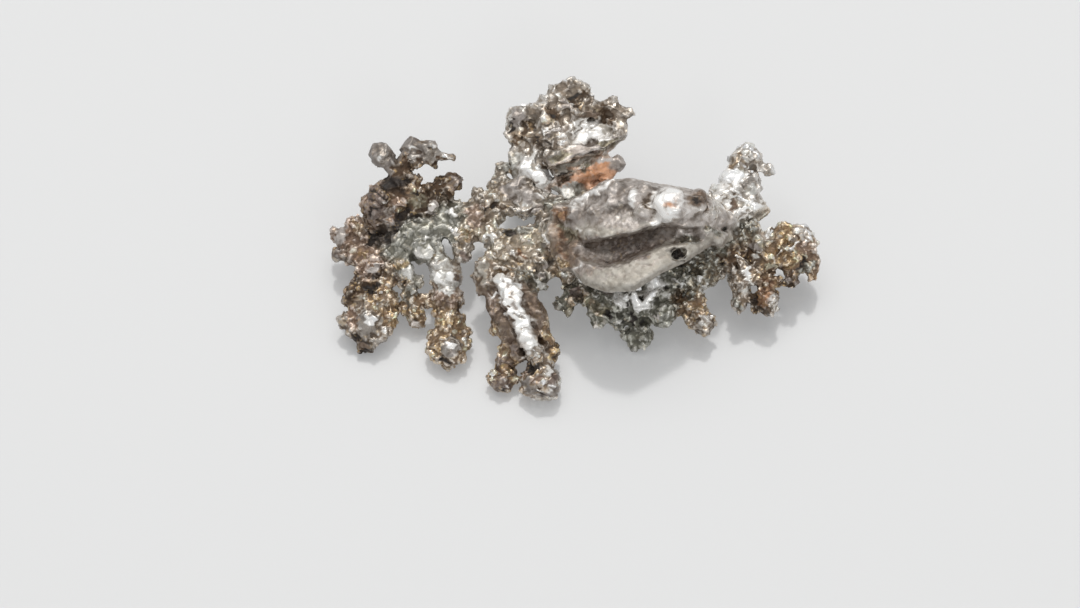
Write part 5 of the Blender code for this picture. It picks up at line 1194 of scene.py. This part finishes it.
# How strong each pattern is, and the share of it that full shine takes off.
PATCH_LOSS = 0.9
BLOTCH_AND_FACET_SHADE_STRENGTH = 0.85
GLINT_STRENGTH, GLINT_LOSS = 0.9, 0.6
LARGE_FACET_STRENGTH = 0.3
HOLLOW_SHIFT, HOLLOW_RAGGEDNESS, HOLLOW_LOSS = 0.1, 0.7, 0.3
RIDGE_RAGGEDNESS = 0.3
RIDGE_STRENGTH = (0.3, 0.5)  # without shine, and what full shine adds
TILT_STRENGTH = (0.05, 0.95)  # without grain, and what full grain adds
BUMP = dict(Strength=0.2, Distance=0.00005)  # the distance is in metres

# What small facets and hollows add to the roughness, what full shine takes off it, and what hollows
# take off the metal.
FACET_ROUGHNESS, HOLLOW_ROUGHNESS, POLISH, HOLLOW_METAL = 0.16, 0.25, 0.14, 0.3


def silver(name, hollow_tarnish_and_shade, glint, glint_share, facet_tilt, roughness):
    """Native silver: facets that catch the light one by one, with painted highlight and shade on single
    facets, tarnish and painted shade in the hollows, ridges painted light, and painted glints.
    """
    material = bpy.data.materials.new(name)
    material.use_nodes = True
    tree = material.node_tree
    shader = tree.nodes["Principled BSDF"]
    where = Wire(tree, tree.nodes.new("ShaderNodeTexCoord").outputs["Object"]).scaled(1 / MM)
    tint = where.attribute("tint", "Color")
    relief = where.attribute("relief")
    shine = where.attribute("shine")
    grain = where.attribute("grain")
    metal = where.attribute("metal")
    ragged = where.noise(*RAGGED) - MIDDLE
    bent = where.vector("ADD", where.noise(*BENT, output=1))
    small = bent.cells(SMALL_FACETS)
    large = bent.cells(LARGE_FACETS)

    # Broad patches of tarnish, and painted highlight: whole facets coloured as if they caught the light.
    patch = where.noise(*PATCHES).step(*PATCH_STEP)
    colour = tint.darkened(DULL, (1 - patch) * (1 - PATCH_LOSS * shine))
    light = tint.mixed((*PALE, 1), tint.part(1).step(*PALE_STEP) * PALE_SHARE)
    painted_facet_highlight = small.part(0).step(*LIGHT_FACET_STEP) * grain + LARGE_FACET_STRENGTH * large.part(0) * shine
    colour = colour.mixed(light, painted_facet_highlight.clamped())

    # Dark blotches where the skin is smooth, painted shade on whole facets where it is grainy, and painted
    # glints on single facets.
    blotch_and_facet_shade = where.noise(*BLOTCHES).step(*BLOTCH_STEP) * (1 - grain)
    blotch_and_facet_shade = large.part(1).step(*DARK_FACET_STEP) * grain + blotch_and_facet_shade
    colour = colour.mixed(tint.darkened(BLOTCH_AND_FACET_SHADE), (blotch_and_facet_shade * (1 - shine) * BLOTCH_AND_FACET_SHADE_STRENGTH).clamped())
    glints = small.part(2).step(1 - glint_share, 1 - glint_share + GLINT_STEP)
    glints = glints * grain * (1 - GLINT_LOSS * shine)
    colour = colour.mixed((*glint, 1), (glints * GLINT_STRENGTH).clamped())

    # Tarnish and painted shade in the hollows, and ridges lightened by rubbing and by painted highlight.
    hollow = (relief * -1 + ragged * HOLLOW_RAGGEDNESS - HOLLOW_SHIFT).step(*HOLLOW_STEP)
    colour = colour.mixed(tint.darkened(hollow_tarnish_and_shade), (hollow * (1 - HOLLOW_LOSS * shine)).clamped())
    ridge = (relief + ragged * RIDGE_RAGGEDNESS).step(*RIDGE_STEP)
    start, gain = RIDGE_STRENGTH
    colour = colour.mixed(light, (ridge * (start + gain * shine)).clamped())

    # Facets turned a little each way, most where the skin is grainy, under a fine grain.
    normal = where.out(where.node("ShaderNodeNewGeometry"), "Normal")
    start, gain = TILT_STRENGTH
    uneven = (grain * gain + start) * facet_tilt
    for facets in (small, large):
        normal = normal.vector("ADD", facets.vector("SUBTRACT", (MIDDLE,) * 3).scaled(uneven))
    normal = normal.vector("NORMALIZE")
    bump = where.node("ShaderNodeBump", None, Height=where.noise(*FINE_GRAIN), Normal=normal, **BUMP)

    rough = roughness + FACET_ROUGHNESS * small.part(1) + HOLLOW_ROUGHNESS * hollow - POLISH * shine
    tree.links.new(bump.outputs[0], shader.inputs["Normal"])
    tree.links.new(colour.socket, shader.inputs["Base Color"])
    tree.links.new(rough.clamped().socket, shader.inputs["Roughness"])
    tree.links.new((metal - HOLLOW_METAL * hollow).clamped().socket, shader.inputs["Metallic"])
    return material


# What tarnish and painted shade leave of a colour in a hollow
BROWN_HOLLOW = (0.27, 0.205, 0.15)
GREY_HOLLOW = (0.28, 0.235, 0.19)
GREEN_HOLLOW = (0.27, 0.26, 0.22)
# The colours of the painted glints
GOLD = (0.62, 0.42, 0.18)
PALE_GOLD = (0.72, 0.60, 0.42)

# Each kind of silver: what tarnish and painted shade in a hollow leave of its colour, its painted glints'
# colour, the share of its small facets that glint, how far its facets are turned, and its roughness.
SILVERS = {
    "bright_silver": (GREY_HOLLOW, PALE_GOLD, 0.12, 0.35, 0.30),
    "grey_silver": (GREY_HOLLOW, GOLD, 0.12, 0.35, 0.33),
    "green_grey_silver": (GREEN_HOLLOW, PALE_GOLD, 0.10, 0.35, 0.30),
    "gold_brown_silver": (BROWN_HOLLOW, GOLD, 0.20, 0.45, 0.30),
    "dark_tarnish": (BROWN_HOLLOW, GOLD, 0.14, 0.40, 0.32),
    "coppery_silver": (BROWN_HOLLOW, GOLD, 0.12, 0.35, 0.33),
}
MATERIALS = {name: silver(name, *values) for name, values in SILVERS.items()}

# How a branch is shaped: round lumps for each square millimetre, rounds of smoothing, how wide the
# border of a mark is, the (size, height) of its small lumps, the (size, strength, tilt) of its facets,
# and small crystals for each square millimetre.
FINE = dict(
    lumps=0.6, soften=1, border=0.12, ripples=((1.1, 0.30), (0.6, 0.12)), facets=((0.42, 0.4, 0.10),),
    crystals=1.0,
)
COARSE = dict(FINE, ripples=((1.35, 0.34), (0.7, 0.14)), facets=((0.55, 0.5, 0.10),), crystals=0.7)
BOLD = dict(
    FINE, lumps=0.5, ripples=((1.7, 0.40), (0.8, 0.13)), facets=((0.8, 0.6, 0.10),), crystals=0.6,
)
SMOOTH = dict(
    FINE, lumps=0.25, soften=8, border=0.35, ripples=((1.3, 0.25), (0.5, 0.12)), facets=((0.6, 0.4, 0.06),),
)
BROAD = dict(
    FINE, lumps=0.2, soften=3, ripples=((1.3, 0.25), (0.6, 0.12)), facets=((0.9, 0.8, 0.10),), crystals=0.8,
)

LOOKS = {
    "centre_trunk": dict(slot="grey_silver", **FINE),
    "left_trunk": dict(slot="green_grey_silver", **FINE),
    "right_trunk": dict(slot="dark_tarnish", **FINE),
    "left_crest": dict(slot="dark_tarnish", **COARSE),
    "left_tip": dict(slot="coppery_silver", **FINE),
    "left_foot": dict(slot="gold_brown_silver", **FINE),
    "small_finger": dict(slot="gold_brown_silver", **FINE),
    "left_finger": dict(slot="gold_brown_silver", **FINE),
    "long_finger": dict(slot="gold_brown_silver", **COARSE),
    "crown": dict(slot="bright_silver", **BOLD),
    "tongue": dict(slot="coppery_silver", **BROAD),
    "blade": dict(slot="grey_silver", **SMOOTH),
    "right_crest": dict(slot="bright_silver", **BOLD),
    "right_end": dict(slot="gold_brown_silver", **FINE),
    "right_claws": dict(slot="gold_brown_silver", **FINE),
    "low_cluster": dict(slot="green_grey_silver", **FINE),
    "right_finger": dict(slot="gold_brown_silver", **FINE),
}
FIRST_SEED = 101  # of the branches' random draws


# ---------------------------------------------------------------- stage

TABLE_HALF_WIDTH = 3.0  # metres
TABLE = {
    "Base Color": (0.40, 0.405, 0.41, 1),
    "Emission Color": (1, 1, 1, 1),
    "Emission Strength": 0.205,  # a painted glow: the sheet gives off light though it is no lamp, and lifts the shadows
    "Roughness": 0.12,
    "Specular IOR Level": 1.0,
}
ROOM = {"Color": (0.97, 0.985, 1.0, 1), "Strength": 0.62}

# Each softbox: its place and its size in metres, its power in watts and its colour. All face the part.
SOFTBOXES = {
    "overhead": ((-0.02, 0.20, 0.48), (0.5, 0.4), 1.32, (1.0, 0.98, 0.95)),
    "front": ((0.2, -0.6, 0.45), (0.15, 0.15), 0.4, (1, 1, 1)),
}
LENS = 200
SENSOR_WIDTH = 36
NEAREST_SEEN = 0.01  # metres


def table():
    """The plain pale sheet that the part rests on, with a painted glow that lifts the shadows."""
    bm = bmesh.new()
    bmesh.ops.create_grid(bm, x_segments=1, y_segments=1, size=TABLE_HALF_WIDTH)
    mesh = bpy.data.meshes.new("table")
    bm.to_mesh(mesh)
    bm.free()
    floor = in_scene("table", mesh)
    material = bpy.data.materials.new("table")
    material.use_nodes = True
    shader = material.node_tree.nodes["Principled BSDF"]
    for name, value in TABLE.items():
        shader.inputs[name].default_value = value
    mesh.materials.append(material)


def aimed(seer, where, direction):
    """Puts a lamp or a camera at a place in metres, and turns it this way."""
    seer.location = where
    seer.rotation_euler = direction.to_track_quat("-Z", "Y").to_euler()


def softbox(name, where, size, power, colour):
    """A rectangular lamp that faces the part."""
    light = bpy.data.lights.new(name, "AREA")
    light.shape = "RECTANGLE"
    light.size, light.size_y = size
    light.energy = power
    light.color = colour
    aimed(in_scene(name, light), where, -Vector(where))


def studio():
    """The room's even light and the softboxes."""
    world = bpy.data.worlds.new("room")
    bpy.context.scene.world = world
    world.use_nodes = True
    for name, value in ROOM.items():
        world.node_tree.nodes["Background"].inputs[name].default_value = value
    for name, values in SOFTBOXES.items():
        softbox(name, *values)


def camera():
    """The camera, at the viewer of the layout."""
    lens = bpy.data.cameras.new("camera")
    lens.lens = LENS
    lens.sensor_width = SENSOR_WIDTH
    lens.clip_start = NEAREST_SEEN
    eye = in_scene("camera", lens)
    aimed(eye, (place(EYE_ACROSS, 0, 0) + TOWARD_EYE * EYE) * MM, -TOWARD_EYE)
    bpy.context.scene.camera = eye


def main():
    """Dresses every branch, then sets the stage."""
    trees = {name: BVHTree.FromBMesh(merged(name)) for name in LOOKS}
    for seed, (name, look) in enumerate(LOOKS.items(), FIRST_SEED):
        dressed(name, look, trees, seed)
    table()
    studio()
    camera()
    bpy.context.scene.view_settings.view_transform = "Standard"


main()
bpy.context.view_layer.update()
